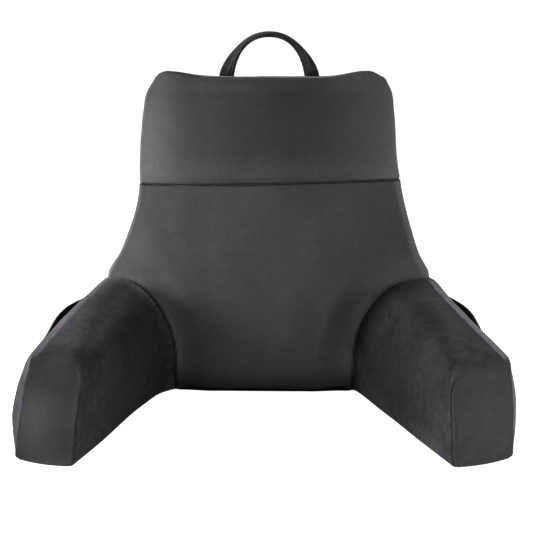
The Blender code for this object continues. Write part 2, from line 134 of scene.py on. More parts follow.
# %% Helpers for materials
class Signal:
    """A number in a material's graph, which + - and * join with Math nodes."""

    def __init__(self, finish, socket):
        self.finish = finish
        self.socket = socket

    def join(self, operation, first, second):
        made = self.finish.node("ShaderNodeMath", {"operation": operation}, {0: first, 1: second})
        return Signal(self.finish, made.outputs[0])

    def __add__(self, other):
        return self.join("ADD", self, other)

    def __radd__(self, other):
        return self.join("ADD", other, self)

    def __sub__(self, other):
        return self.join("SUBTRACT", self, other)

    def __rsub__(self, other):
        return self.join("SUBTRACT", other, self)

    def __mul__(self, other):
        return self.join("MULTIPLY", self, other)

    def __rmul__(self, other):
        return self.join("MULTIPLY", other, self)


def add_node(tree, kind, settings=None, sockets=None):
    """Adds a node to a tree: its settings first, then the values or links of its sockets."""
    made = tree.nodes.new(kind)
    for name, value in (settings or {}).items():
        setattr(made, name, value)
    for name, value in (sockets or {}).items():
        source = value.socket if isinstance(value, Signal) else value
        if isinstance(source, bpy.types.NodeSocket):
            tree.links.new(source, made.inputs[name])
        else:
            made.inputs[name].default_value = source
    return made


NO_LIGHT = {"Base Color": (0.002, 0.002, 0.002, 1.0), "Roughness": 1.0, "Specular IOR Level": 0.0}


class Finish:
    """One material, built node by node."""

    def __init__(self, name):
        self.material = bpy.data.materials.new(name)
        self.material.use_nodes = True
        self.tree = self.material.node_tree
        self.tree.nodes.clear()

    def node(self, kind, settings=None, sockets=None):
        return add_node(self.tree, kind, settings, sockets)

    def place(self):
        """Where a point is on the piece, in metres."""
        return self.node("ShaderNodeTexCoord").outputs["Object"]

    def stretched(self, place, scale):
        sockets = {0: place, 1: scale}
        return self.node("ShaderNodeVectorMath", {"operation": "MULTIPLY"}, sockets).outputs[0]

    def noise(self, place, scale, detail=2.0, roughness=0.5, distortion=0.0):
        sockets = {"Vector": place, "Scale": scale, "Detail": detail, "Roughness": roughness}
        sockets["Distortion"] = distortion
        return Signal(self, self.node("ShaderNodeTexNoise", None, sockets).outputs[0])

    def attribute(self, name):
        return Signal(self, self.node("ShaderNodeAttribute", {"attribute_name": name}).outputs["Fac"])

    def between(self, signal, low, high, to_low=0.0, to_high=1.0):
        """Spreads a range of a signal over another range, and stops at its ends."""
        sockets = {0: signal, 1: low, 2: high, 3: to_low, 4: to_high}
        return Signal(self, self.node("ShaderNodeMapRange", {"clamp": True}, sockets).outputs[0])

    def blend(self, share, first, second):
        sockets = {0: share, 6: (*first, 1.0), 7: (*second, 1.0)}
        return self.node("ShaderNodeMix", {"data_type": "RGBA"}, sockets).outputs[2]

    def dimmed(self, colour, share):
        sockets = {0: colour, "Scale": share}
        return self.node("ShaderNodeVectorMath", {"operation": "SCALE"}, sockets).outputs[0]

    def bump(self, height, strength, distance):
        sockets = {"Strength": strength, "Distance": distance, "Height": height}
        return self.node("ShaderNodeBump", None, sockets).outputs[0]

    def cloth(self, sockets, depth=None):
        """Ends the graph in a shader and gives the material. depth: where 1, no light gets in."""
        surface = self.node("ShaderNodeBsdfPrincipled", None, sockets).outputs[0]
        if depth is not None:
            deep = self.node("ShaderNodeBsdfPrincipled", None, NO_LIGHT).outputs[0]
            mixed = {0: depth, 1: surface, 2: deep}
            surface = self.node("ShaderNodeMixShader", None, mixed).outputs[0]
        self.node("ShaderNodeOutputMaterial", None, {"Surface": surface})
        return self.material


# %% [markdown]
# ## Velour
# Velour is a knit with a short cut pile. The pile leans a little this way or that after every
# touch, which leaves soft pale and dark blotches the size of a hand, finer mottling inside them,
# and faint streaks along the nap. The tips of the hairs catch light that grazes the cloth, so the
# shader's sheen does the bright edges. Three numbers painted on each cover's points steer it: the
# painted light and shade of each panel, together with how its pile lies; the painted shade in its
# seams, nips and dimples; and 1 on the panels whose nap leans to violet. Where the painted seam
# shade is deepest, the shader goes over to black, as if no light got in between two panels there.

# %% Make the velours
BLOTCHES, MOTTLING, STREAKS, PILE = 17.0, 88.0, 260.0, 1400.0  # how many of each to a metre
ALONG_THE_NAP = (1.0, 1.0, 0.35)  # the streaks are drawn out from the floor up


def velour(name, charcoal, contrast, sheen, gloss=0.06, tinge=(1.0, 1.0, 1.0), crushed=0.0):
    """charcoal: the cloth's middle colour; contrast: how far the nap strays from it; tinge: the
    colour's factors on the sleeves; crushed: how much further the nap strays there."""
    finish = Finish(name)
    place = finish.place()
    blotches = finish.noise(place, BLOTCHES, 3.0, 0.55)
    mottling = finish.noise(place, MOTTLING, 4.0, 0.72, 0.2)
    streaks = finish.noise(finish.stretched(place, ALONG_THE_NAP), STREAKS, 3.0, 0.60)
    pile = finish.noise(place, PILE, 2.0, 0.65)
    crease_shade = finish.attribute("crease_shade")
    nap_and_light = finish.attribute("nap_and_light")
    sleeve = finish.attribute("sleeve")
    nap = 0.20 * blotches + 0.42 * mottling + 0.18 * streaks + 0.20 * pile
    share = finish.between(nap, 0.36, 0.64)
    strayed = (contrast + crushed * sleeve) * (2.0 * share - 1.0)
    # the painted light and shade, darkened by the painted seam shade, times the nap's random stray
    lit = nap_and_light * (1.0 - 0.85 * crease_shade) * (1.0 + strayed)
    tinged = tuple(a * b for a, b in zip(charcoal, tinge))
    colour = finish.dimmed(finish.blend(sleeve, charcoal, tinged), lit)
    height = 0.50 * pile + 0.30 * mottling + 0.20 * streaks
    sockets = {
        "Base Color": colour,
        "Roughness": finish.between(share, 0.0, 1.0, 0.95, 0.86),
        "Specular IOR Level": gloss,
        "Sheen Weight": sheen,
        "Sheen Roughness": 0.38,
        "Sheen Tint": (0.93, 0.91, 0.93, 1.0),
        "Normal": finish.bump(height, 0.55, 0.0006),
    }
    # where the painted seam shade is deep, the shader goes over to black
    return finish.cloth(sockets, 0.9 * crease_shade * crease_shade)


CHARCOAL = (0.0355, 0.0343, 0.0350)
SLEEVE_TINGE = (0.985, 0.955, 1.03)  # the arms' nap leans to violet
body_velour = velour("velour on the back", CHARCOAL, 0.16, 0.12)
arm_velour = velour("velour on the arms", CHARCOAL, 0.18, 0.03, 0.015, SLEEVE_TINGE, 0.34)
strap_velour = velour("velour strap", (0.021, 0.0204, 0.0208), 0.50, 0.04)
pocket_velour = velour("velour on the pockets", (0.028, 0.027, 0.028), 0.18, 0.06)
print("velours:", [m.name for m in (body_velour, arm_velour, strap_velour, pocket_velour)])

# %% [markdown]
# ## Tape and thread
# The tape on the mouth of each pocket is a dull black ribbed band, a grosgrain: its ribs stand
# across its length, about one to a millimetre. The number "along" on its points counts metres
# along the tape. The thread is a twisted polyester yarn, a little shinier than the cloth.

# %% Make the tape and the thread
RIB = 0.0011  # from one rib of the tape to the next


def ribbed_tape(name, colour, pale):
    finish = Finish(name)
    place = finish.place()
    along = finish.attribute("along")
    wear = finish.noise(place, 90.0, 3.0, 0.6)
    fibre = finish.noise(place, 2200.0, 2.0, 0.6)
    turns = (along * (2 * math.pi / RIB)) + 1.4 * wear
    sine = Signal(finish, finish.node("ShaderNodeMath", {"operation": "SINE"}, {0: turns}).outputs[0])
    rib = 0.5 + 0.5 * sine
    share = finish.between(0.5 * rib + 0.3 * wear + 0.2 * fibre, 0.2, 0.9)
    sockets = {
        "Base Color": finish.blend(share, colour, pale),
        "Roughness": finish.between(share, 0.0, 1.0, 0.80, 0.66),
        "Specular IOR Level": 0.25,
        "Sheen Weight": 0.08,
        "Normal": finish.bump(0.8 * rib + 0.2 * fibre, 0.6, 0.0004),
    }
    return finish.cloth(sockets)


def spun_thread(name, colour, pale):
    finish = Finish(name)
    place = finish.place()
    twist = finish.noise(place, 1800.0, 2.0, 0.5)
    share = finish.between(twist, 0.35, 0.65)
    sockets = {
        "Base Color": finish.blend(share, colour, pale),
        "Roughness": finish.between(share, 0.0, 1.0, 0.62, 0.50),
        "Normal": finish.bump(twist, 0.4, 0.0002),
    }
    return finish.cloth(sockets)


tape_cloth = ribbed_tape("dark tape", (0.005, 0.0048, 0.005), (0.017, 0.016, 0.017))
thread = spun_thread("charcoal thread", (0.030, 0.029, 0.030), (0.070, 0.067, 0.070))
print("tape and thread:", tape_cloth.name, "/", thread.name)

# %% [markdown]
# ## Sizes of the pillow
# The covers repeat the named sizes and the tables of sections of the solids, because each cover
# has to sit exactly where its solid is. LEVELS are level sections through the back and the head
# section, from the floor up. ARMS are sections of each arm from its root to its front face.

# %% Sizes
LEAN = math.radians(12)
FOOT_Y = -0.10
CLEAR = 0.0003  # gap between two solids that are sewn together
SEAM_HEIGHT = 0.3225  # of the head seam, at the middle
SEAM_TILT = 0.030  # how far it climbs to a metre of width
SEAM_SWEEP = 0.10  # and how much it curves up on the left
CORNER_HEIGHT = 0.484
EAR_RISE = 0.0105
EAR_PLACE = 0.160
EAR_OUTWARD = 0.018
EAR_INWARD = 0.046
BACK_CROWN = 0.014
HEAD_CROWN = 0.018
SEAM_CROWN = 0.009
SEAM_FADE = 0.030
HEAD_SEAM_FADE = 0.014
REAR_CROWN = 0.010
TOP_CROWN = 0.006
FRONT_ROLL = 0.008
FLOOR_ROLL = 0.008
ARM_FLOOR_ROLL = 0.005
FLAT_MARGIN = 0.020  # the front stays flat this far outside of an arm's root
FLAT_FADE = 0.050
FACE_CROWN = 0.006
FACE_BOW = 0.008
FACE_ROLL = 0.0016
TOP_FOLD = {"left": 0.018, "right": 0.014}
ARM_PUFF = 0.005
PUFF_LENGTH = 0.012
BULGE_FADE = 0.030

Level = namedtuple("Level", "height left right rear depth tilt bulge")
LEVELS = [
    Level(0.000, 0.283, 0.283, 0.250, 0.200, 0.0, 0.006),
    Level(0.060, 0.280, 0.280, 0.246, 0.196, 1.0, 0.008),
    Level(0.120, 0.270, 0.271, 0.240, 0.190, 3.0, 0.010),
    Level(0.183, 0.2505, 0.2545, 0.229, 0.180, 4.5, 0.010),
    Level(0.209, 0.2345, 0.2405, 0.221, 0.172, 5.0, 0.010),
    Level(0.247, 0.219, 0.2270, 0.211, 0.164, 6.0, 0.010),
    Level(0.296, 0.204, 0.2135, 0.202, 0.152, 7.0, 0.009),
    Level(0.321, 0.202, 0.2085, 0.199, 0.146, 8.0, 0.008),
    Level(0.358, 0.202, 0.203, 0.196, 0.138, 9.0, 0.008),
    Level(0.395, 0.201, 0.201, 0.193, 0.130, 10.0, 0.008),
    Level(0.431, 0.197, 0.1985, 0.188, 0.120, 11.0, 0.008),
    Level(0.468, 0.188, 0.193, 0.179, 0.108, 12.0, 0.007),
    Level(0.484, 0.1755, 0.1845, 0.168, 0.104, 12.0, 0.006),
]

# in, out: the floor edges; edge: the edge seam; x is from the middle, reach is forward of the foot
ARM_COLUMNS = ("share in_x in_reach out_x out_reach edge_x edge_reach edge_z"
               " square upright lean crown bulge")
Arm = namedtuple("Arm", ARM_COLUMNS)
ARMS = {
    "left": [
        Arm(0.00, 0.145, 0.000, 0.283, 0.000, 0.2555, -0.0374, 0.176, 2.0, 0.26, 0.000, 0.000, 0.008),
        Arm(0.08, 0.163, 0.018, 0.289, 0.020, 0.2590, -0.014, 0.177, 2.0, 0.20, 0.004, 0.002, 0.009),
        Arm(0.25, 0.188, 0.075, 0.302, 0.066, 0.2685, 0.037, 0.1757, 2.1, 0.10, 0.010, 0.005, 0.012),
        Arm(0.50, 0.212, 0.150, 0.319, 0.136, 0.2860, 0.112, 0.1687, 2.35, 0.00, 0.017, 0.008, 0.016),
        Arm(0.75, 0.234, 0.228, 0.334, 0.209, 0.3030, 0.187, 0.1587, 3.0, 0.00, 0.018, 0.010, 0.019),
        Arm(1.00, 0.260, 0.307, 0.347, 0.279, 0.3215, 0.266, 0.1430, 6.0, 0.00, 0.010, 0.010, 0.0245),
    ],
    "right": [
        Arm(0.00, 0.137, 0.000, 0.283, 0.000, 0.2575, -0.0378, 0.178, 2.0, 0.26, 0.000, 0.000, 0.008),
        Arm(0.08, 0.146, 0.018, 0.289, 0.020, 0.2625, -0.017, 0.180, 2.0, 0.20, 0.003, 0.002, 0.009),
        Arm(0.25, 0.169, 0.076, 0.303, 0.066, 0.2725, 0.034, 0.1753, 2.1, 0.10, 0.008, 0.005, 0.011),
        Arm(0.50, 0.200, 0.152, 0.321, 0.134, 0.2915, 0.107, 0.1657, 2.35, 0.00, 0.014, 0.008, 0.013),
        Arm(0.75, 0.229, 0.226, 0.339, 0.201, 0.3140, 0.182, 0.1564, 3.2, 0.00, 0.010, 0.008, 0.0145),
        Arm(1.00, 0.260, 0.301, 0.350, 0.261, 0.3435, 0.252, 0.1400, 8.0, 0.00, 0.001, 0.003, 0.0155),
    ],
}
SIDES = {"left": -1, "right": 1}
print("sections:", len(LEVELS), "of the back,", len(ARMS["left"]), "of each arm")

# %% [markdown]
# ## Smooth helpers
# `smooth` reads a column of a table on a smooth curve. `ramp` and `rolled` shape soft starts and
# rounded edges. `hump` and `fading` are 1 at a place or on a seam and die away from it.
# `tightened` spaces the columns of a panel so that they lie closer together at its seams, where
# the cloth rolls in and the shape changes fast.

# %% Helpers for sections
def smooth(table, column, at):
    """A column of a table at one key, on a smooth curve through the rows."""
    keys = np.array([row[0] for row in table])
    values = np.array([getattr(row, column) for row in table])
    slopes = np.gradient(values, keys)
    i = int(np.clip(np.searchsorted(keys, at) - 1, 0, len(keys) - 2))
    step = keys[i + 1] - keys[i]
    t = (np.clip(at, keys[0], keys[-1]) - keys[i]) / step
    start = (1 + 2 * t) * (1 - t) ** 2 * values[i] + t * (1 - t) ** 2 * step * slopes[i]
    end = t * t * (3 - 2 * t) * values[i + 1] - t * t * (1 - t) * step * slopes[i + 1]
    return float(start + end)


def ramp(value):
    """0 below 0, 1 above 1, and an even rise between; for numbers and arrays."""
    t = np.clip(value, 0.0, 1.0)
    return t * t * (3 - 2 * t)


def hump(values, middle, spread):
    """1 at the middle, and dying away on both sides."""
    return np.exp(-(((values - middle) / spread) ** 2))


def fading(far, width, power=2):
    """1 on a line, and dying away within a width of it."""
    return np.exp(-((far / width) ** power))


def rolled(distance, radius):
    """How far an edge that is rounded to a radius is drawn in, at a distance from it."""
    short = min(max(radius - distance, 0.0), radius)
    return radius - math.sqrt(radius * radius - short * short)


def tightened(count, share=0.62):
    """Shares from 0 to 1 that lie closer together at both ends."""
    t = np.linspace(0, 1, count + 1)
    return (1 - share) * t + share * t * t * (3 - 2 * t)


def along_path(points, shares):
    """Points of a path at shares of its length."""
    steps = np.linalg.norm(np.diff(points, axis=0), axis=1)
    length = np.concatenate([[0], np.cumsum(steps)])
    at = np.asarray(shares) * length[-1]
    return np.stack([np.interp(at, length, points[:, k]) for k in range(3)], axis=1)


# %% [markdown]
# ## Closed covers
# Every filled part is a stack of rings with four sides, like the slices of a loaf. A ring with
# four sides can be closed by a grid of quads, so the cover has no poles where the cloth would
# pinch, and the simulation gets an even net of springs.

# %% Helpers for closed covers
def cap_grid(ring, wide, tall, swell):
    """Points over a ring whose sides have wide, tall, wide and tall faces."""
    low = ring[: wide + 1]
    right = ring[wide : wide + tall + 1]
    high = ring[wide + tall : 2 * wide + tall + 1][::-1]
    left = np.concatenate([ring[2 * wide + tall :], ring[:1]])[::-1]
    u = np.linspace(0, 1, wide + 1)[None, :, None]
    v = np.linspace(0, 1, tall + 1)[:, None, None]
    edges = (1 - v) * low[None] + v * high[None] + (1 - u) * left[:, None] + u * right[:, None]
    near = (1 - u) * ((1 - v) * low[0] + v * high[0])
    far = u * ((1 - v) * low[-1] + v * high[-1])
    return edges - near - far + swell(u, v)


def flat_cap(u, v):
    return np.zeros(3)


def cover(name, rings, wide, tall, last_swell=flat_cap):
    """A closed cover from rings of points, with both ends closed by grids of quads."""
    mesh = bmesh.new()
    rows = [[mesh.verts.new(Vector(p)) for p in ring] for ring in rings]
    count = len(rows[0])
    for lower, upper in zip(rows, rows[1:]):
        for i in range(count):
            j = (i + 1) % count
            mesh.faces.new((lower[i], lower[j], upper[j], upper[i]))
    for row, ring, swell in ((rows[0], rings[0], flat_cap), (rows[-1], rings[-1], last_swell)):
        close_ring(mesh, row, cap_grid(np.array(ring), wide, tall, swell), wide, tall)
    bmesh.ops.recalc_face_normals(mesh, faces=mesh.faces)
    if mesh.calc_volume(signed=True) < 0:
        bmesh.ops.reverse_faces(mesh, faces=mesh.faces)
    return add_object(name, mesh)


def close_ring(mesh, row, grid, wide, tall):
    count = len(row)
    inner = {}
    for j in range(1, tall):
        for i in range(1, wide):
            inner[i, j] = mesh.verts.new(Vector(grid[j, i]))

    def vertex(i, j):
        if j == 0:
            return row[i]
        if i == wide:
            return row[wide + j]
        if j == tall:
            return row[2 * wide + tall - i]
        if i == 0:
            return row[(count - j) % count]
        return inner[i, j]

    for j in range(tall):
        for i in range(wide):
            mesh.faces.new((vertex(i, j), vertex(i + 1, j), vertex(i + 1, j + 1), vertex(i, j + 1)))


def tree_of(points):
    tree = KDTree(len(points))
    for i, p in enumerate(points):
        tree.insert(p, i)
    tree.balance()
    return tree


FAR_OFF = 9.0
WITHIN = 0.09  # no seam reaches further than this


def nearest(line, points):
    """Distance to a line and the place along it; points beyond its reach count as far off."""
    line = np.asarray(line, dtype=float)
    length = np.linalg.norm(np.diff(line, axis=0), axis=1).sum()
    count = max(int(length / 0.001), 8)
    dense = along_path(line, np.linspace(0, 1, count + 1))
    tree = tree_of(dense)
    low, high = dense.min(axis=0) - WITHIN, dense.max(axis=0) + WITHIN
    close = np.where(np.all((points > low) & (points < high), axis=1))[0]
    far, at = np.full(len(points), FAR_OFF), np.zeros(len(points))
    for i in close:
        _, index, distance = tree.find(points[i])
        far[i], at[i] = distance, index * length / count
    return far, at


def add_object(name, mesh):
    data = bpy.data.meshes.new(name)
    mesh.to_mesh(data)
    mesh.free()
    data.shade_smooth()
    thing = bpy.data.objects.new(name, data)
    bpy.context.scene.collection.objects.link(thing)
    return thing


def vectors(items, name):
    """The three numbers that each item has by that name, as the rows of an array."""
    flat = np.zeros(len(items) * 3)
    items.foreach_get(name, flat)
    return flat.reshape(-1, 3)


def points_of(thing):
    return vectors(thing.data.vertices, "co")


def normals_of(thing):
    return vectors(thing.data.vertex_normals, "vector")


def above_floor(points):
    points[:, 2] = np.maximum(points[:, 2], 0.0)
    return points


def move_points(thing, points):
    thing.data.vertices.foreach_set("co", np.asarray(points, dtype=np.float32).ravel())
    thing.data.update()


def push(thing, shift):
    """Where the points of a cover get to when each one moves along its normal."""
    return points_of(thing) + normals_of(thing) * shift[:, None]


def paint(thing, name, values):
    """Writes one number on every point, for the material to read."""
    layer = thing.data.attributes.new(name, "FLOAT", "POINT")
    layer.data.foreach_set("value", np.asarray(values, dtype=np.float32))


# %% [markdown]
# ## The filling
# A stuffed cover is blown tight between its seams. The Cloth simulation with pressure does that:
# the sewn edges and what stands on the floor are pinned, gravity is off, and the pressure pushes
# every panel out until the cloth's own stretch holds it. How far a point may move is capped, and
# the cap dies away towards the seams, so the cover keeps the size of its solid and crisp edges.

# %% Helper that blows up a cover
FULL_AWAY = 0.045  # this far from its seams a panel may swell to its full cap
TINY = 1e-9
EVENING_ROUNDS = 26
CLOTH_FRAMES = 20
CLOTH_SETTINGS = {
    "quality": 3,
    "mass": 0.25,
    "tension_stiffness": 15,
    "compression_stiffness": 15,
    "shear_stiffness": 5,
    "bending_stiffness": 1.0,
    "tension_damping": 15,
    "compression_damping": 15,
    "air_damping": 3,
    "use_pressure": True,
    "uniform_pressure_force": 7.0,
    "vertex_group_mass": "sewn",
}


def evened(piece, shift, pinned):
    """Spreads a shift over neighbours. Crumb filling holds soft swells but no sharp wrinkle."""
    ends = np.zeros(len(piece.data.edges) * 2, dtype=np.int64)
    piece.data.edges.foreach_get("vertices", ends)
    first, second = ends.reshape(-1, 2).T
    neighbours = np.bincount(ends, minlength=len(shift))[:, None]
    free = np.ones((len(shift), 1))
    free[sorted(pinned)] = 0
    for _ in range(EVENING_ROUNDS):
        total = np.zeros_like(shift)
        np.add.at(total, first, shift[second])
        np.add.at(total, second, shift[first])
        shift = free * (0.5 * shift + 0.5 * total / neighbours)
    return shift


def blow_up(piece, pinned, most):
    """Runs the cloth for some frames and keeps its shape, capped point by point."""
    start = points_of(piece)
    sewn = piece.vertex_groups.new(name="sewn")
    sewn.add([int(i) for i in pinned], 1.0, "REPLACE")
    cloth = piece.modifiers.new("filling", "CLOTH")
    for name, value in CLOTH_SETTINGS.items():
        setattr(cloth.settings, name, value)
    cloth.settings.effector_weights.gravity = 0
    cloth.collision_settings.use_collision = False
    cloth.collision_settings.use_self_collision = False
    for number in range(1, CLOTH_FRAMES + 1):
        bpy.context.scene.frame_set(number)
    shaped = piece.evaluated_get(bpy.context.evaluated_depsgraph_get())
    shift = points_of(shaped) - start
    length = np.linalg.norm(shift, axis=1)
    seams = tree_of(start[sorted(pinned)])
    away = np.array([seams.find(p)[2] for p in start])
    most = np.maximum(most * ramp(away / FULL_AWAY), TINY)
    kept = most * np.tanh(length / most) / np.maximum(length, TINY)
    piece.modifiers.remove(cloth)
    piece.vertex_groups.remove(sewn)
    move_points(piece, above_floor(start + evened(piece, shift * kept[:, None], pinned)))
    bpy.context.scene.frame_set(1)
    print(piece.name, "moved by", round(1000 * float(np.mean(length)), 2), "mm before its cap")


def refine(piece):
    """One subdivision, applied."""
    modifier = piece.modifiers.new("finer", "SUBSURF")
    modifier.levels = 1
    modifier.render_levels = 1
    shaped = piece.evaluated_get(bpy.context.evaluated_depsgraph_get())
    finer = bpy.data.meshes.new_from_object(shaped)
    piece.modifiers.clear()
    old = piece.data
    piece.data = finer
    bpy.data.meshes.remove(old)
    piece.data.name = piece.name
    piece.data.shade_smooth()


# %% [markdown]
# ## Seams
# Where two panels are sewn, the thread pulls the cloth in: a narrow groove, a soft lip on either
# side, and small puckers that run out from it and die away. A seam here is a line of points.
# Every point of a cover finds its distance to the line and its place along it, and moves along
# its normal by a sum of groove, lip and puckers. Slow random waves, from a fixed seed, keep the
# puckers uneven, as a machinist's hand does.

# %% Helpers for seams
# groove, lip and pucker are depths; pitch is from pucker to pucker; dark is the painted shade in
# the seam, and over the last stretch of the line, as long as fade, the groove and that painted
# shade die away
Seam = namedtuple("Seam", "groove width lip pucker pitch reach dark fade")
SEAMS = {
    "panel edge": Seam(0.0010, 0.0009, 0.0003, 0.0002, 0.0110, 0.006, 0.45, 0.000),
    "top of the back": Seam(0.0012, 0.0012, 0.0003, 0.0002, 0.0120, 0.008, 0.75, 0.000),
    "root on the back": Seam(0.0016, 0.0013, 0.0002, 0.0003, 0.0085, 0.008, 0.85, 0.085),
    "foot of the head": Seam(0.0012, 0.0012, 0.0003, 0.0003, 0.0120, 0.008, 0.75, 0.000),
    "top of the head": Seam(0.0010, 0.0009, 0.0004, 0.0003, 0.0100, 0.007, 0.40, 0.000),
    "root": Seam(0.0022, 0.0018, 0.0000, 0.0003, 0.0085, 0.010, 1.00, 0.100),
    "inner": Seam(0.0011, 0.0008, 0.0002, 0.0003, 0.0095, 0.006, 0.50, 0.022),
    "outer": Seam(0.0007, 0.0008, 0.0003, 0.0003, 0.0105, 0.006, 0.30, 0.000),
    "edge": Seam(0.0004, 0.0009, 0.0002, 0.0002, 0.0110, 0.006, 0.05, 0.020),
}
WAVE_VALUES = 4096
DEPTH_WAVE, BEAT_WAVE, STRENGTH_WAVE = 0.013, 0.045, 0.050  # lengths along a seam
THREAD = 0.0005  # half the thickness of the sewing thread at the bottom of a groove
SHORTEST_PUCKER = 0.002


def waves(at, pitch, seed):
    """A smooth random wave from -1 to 1 along a line."""
    values = np.random.default_rng(seed).uniform(-1, 1, WAVE_VALUES)
    cells = np.asarray(at) / pitch + 16.0
    i = np.floor(cells).astype(int)
    t = cells - i
    t = t * t * (3 - 2 * t)
    return (1 - t) * values[i % WAVE_VALUES] + t * values[(i + 1) % WAVE_VALUES]


def lumps(points, pitch, seed):
    """A smooth random field from about -1 to 1 over space."""
    random = np.random.default_rng(seed)
    total = np.zeros(len(points))
    for _ in range(9):
        way = random.normal(size=3)
        way = way / np.linalg.norm(way)
        turns = 2 * math.pi / (pitch * random.uniform(0.75, 1.5))
        total += np.sin(points @ way * turns + random.uniform(0, 7))
    return total / 3.2


def sew(piece, lines):
    """Draws seams into a cover and gives the painted shade of each point in them, darkest in the
    grooves. lines: for each seam its line, its name in the table and the seed of its waves."""
    points = points_of(piece)
    shift = np.zeros(len(points))
    crease_shade = np.zeros(len(points))
    for line, name, seed in lines:
        seam = SEAMS[name]
        far, at = nearest(line, points)
        far = np.maximum(far - THREAD, 0.0)
        full = ramp((at.max() - at) / seam.fade) if seam.fade else 1.0
        depth = seam.groove * (1 + 0.25 * waves(at, DEPTH_WAVE, seed)) * full
        shift -= depth * fading(far, seam.width)
        lip = far / (2.0 * seam.width)
        shift += seam.lip * lip * np.exp(1 - lip)
        beat = np.sin(2 * math.pi * at / seam.pitch + 2.6 * waves(at, BEAT_WAVE, seed + 1))
        strength = seam.pucker * np.clip(0.35 + 0.9 * waves(at, STRENGTH_WAVE, seed + 2), 0.0, 1.2)
        pucker = strength * beat * np.exp(-far / seam.reach)
        shift += pucker * (1 - np.exp(-far / SHORTEST_PUCKER))
        # painted shade along the seam, darkest in its groove
        crease_shade = np.maximum(crease_shade, full * seam.dark * fading(far, 1.3 * seam.width))
    move_points(piece, above_floor(push(piece, shift)))
    return crease_shade


# %% [markdown]
# ## The back
# The back is a wedge: its front leans twelve degrees, its rear is upright, and its sides flare
# from the head seam down to the roots of the arms. Its front stays flat where an arm is sewn on
# and is crowned everywhere else. The head seam climbs a little to one side, as on the real one.

# %% Helpers for the back and the head section
def seam_height(x):
    return SEAM_HEIGHT + SEAM_TILT * x + (SEAM_SWEEP * x * x if x < 0 else 0)


def top_height(x):
    spread = EAR_OUTWARD if abs(x) > EAR_PLACE else EAR_INWARD
    return CORNER_HEIGHT + EAR_RISE * math.exp(-(((abs(x) - EAR_PLACE) / spread) ** 2))


def flat_share(x, z):
    """0 where an arm is sewn on, 1 well clear of it."""
    root = ARMS["left" if x < 0 else "right"][0]
    inward = max(root.edge_x - abs(x), 0) / (root.edge_x - root.in_x)
    outside = math.hypot(inward, z / root.edge_z) - 1
    return float(ramp((outside * root.in_x - FLAT_MARGIN) / FLAT_FADE))


def front_point(x, z, crown):
    """A point on the leaning front, pushed out by a crown."""
    share = flat_share(x, z)
    drawn_in = rolled(z, FRONT_ROLL) if z < FRONT_ROLL else 0.0
    return np.array([x, FOOT_Y + z * math.tan(LEAN) - share * (crown - drawn_in), z])


def trunk_ring(level, row_height, crown_at, wide, tall):
    """One section: the front from left to right, the right side, the rear, the left side."""
    left, right = smooth(LEVELS, "left", level), smooth(LEVELS, "right", level)
    rear, depth = smooth(LEVELS, "rear", level), smooth(LEVELS, "depth", level)
    bulge, tilt = smooth(LEVELS, "bulge", level), math.radians(smooth(LEVELS, "tilt", level))
    across = tightened(wide)
    front = []
    for share in across:
        x = -left + (left + right) * share
        front.append(front_point(x, row_height(x), crown_at(2 * share - 1)))
    back = np.array([0, depth * math.cos(tilt), -depth * math.sin(tilt)])
    rear_points = []
    for share, base in zip(across, front):
        x = rear * (2 * share - 1)
        edge = np.array([x, FOOT_Y + base[2] * math.tan(LEAN), base[2]]) + back
        edge[1] += REAR_CROWN * (1 - (2 * share - 1) ** 2)
        rear_points.append(edge)
    sides = []
    for start, end, sign in ((front[-1], rear_points[-1], 1), (rear_points[0], front[0], -1)):
        for share in tightened(tall)[1:-1]:
            out = np.array([sign * bulge * math.sin(math.pi * share), 0, 0])
            sides.append((1 - share) * start + share * end + out)
    ring = front + sides[: tall - 1] + rear_points[::-1] + sides[tall - 1 :]
    return np.array([[p[0], p[1], max(p[2], 0.0)] for p in ring])


def drawn_in_at_floor(ring, height, radius):
    """The ring, pulled in towards its middle where the edge on the floor is rounded."""
    middle = np.mean(ring, axis=0)
    pull = rolled(height, radius)
    moved = ring.copy()
    for i, p in enumerate(ring):
        on_front = p[1] < FOOT_Y + p[2] * math.tan(LEAN) + CLEAR
        if on_front and flat_share(p[0], p[2]) == 0:
            continue
        out = np.array([p[0] - middle[0], max(p[1] - middle[1], 0), 0])
        moved[i] = p - pull * out / max(np.linalg.norm(out), TINY)
    return moved


def ring_lines(rings, wide, tall):
    """The four edge seams of a stack of rings, from the first ring to the last."""
    columns = (0, wide, wide + tall, 2 * wide + tall)
    return [np.array([ring[column] for ring in rings]) for column in columns]


def around(ring):
    """A ring as a closed line."""
    return np.concatenate([ring, ring[:1]])


def held_points(rings, wide, tall, total):
    """Numbers of the points on the four edge seams, on both end rings and on both caps."""
    count = len(rings[0])
    columns = (0, wide, wide + tall, 2 * wide + tall)
    held = {r * count + c for r in range(len(rings)) for c in columns}
    held |= set(range(count)) | set(range((len(rings) - 1) * count, len(rings) * count))
    held |= set(range(len(rings) * count, total))
    return held


# %% Sew the back
BACK_WIDE, BACK_TALL, BACK_ROWS = 100, 24, 60
BROAD_SWELL, SIDE_SWELL = 0.005, 0.002  # how far the filling may push the broad panels and the sides


def back_rings():
    rings = []
    for share in tightened(BACK_ROWS):
        level = share * SEAM_HEIGHT
        below = float(ramp((SEAM_HEIGHT - level) / SEAM_FADE))
        swell = SEAM_CROWN + (BACK_CROWN - SEAM_CROWN) * below

        def row_height(x):
            tilted = float(ramp((share - 0.6) / 0.4))
            last = CLEAR / 2 if share == 1.0 else 0
            return level + tilted * (seam_height(x) - SEAM_HEIGHT) - last

        def crown_at(across):
            return swell * (1 - abs(across) ** 2.6)

        ring = trunk_ring(level, row_height, crown_at, BACK_WIDE, BACK_TALL)
        rings.append(drawn_in_at_floor(ring, level, FLOOR_ROLL))
    return rings


def front_of(points):
    """True for the points on the front side of the back."""
    return points[:, 1] < FOOT_Y + points[:, 2] * math.tan(LEAN) + 0.002


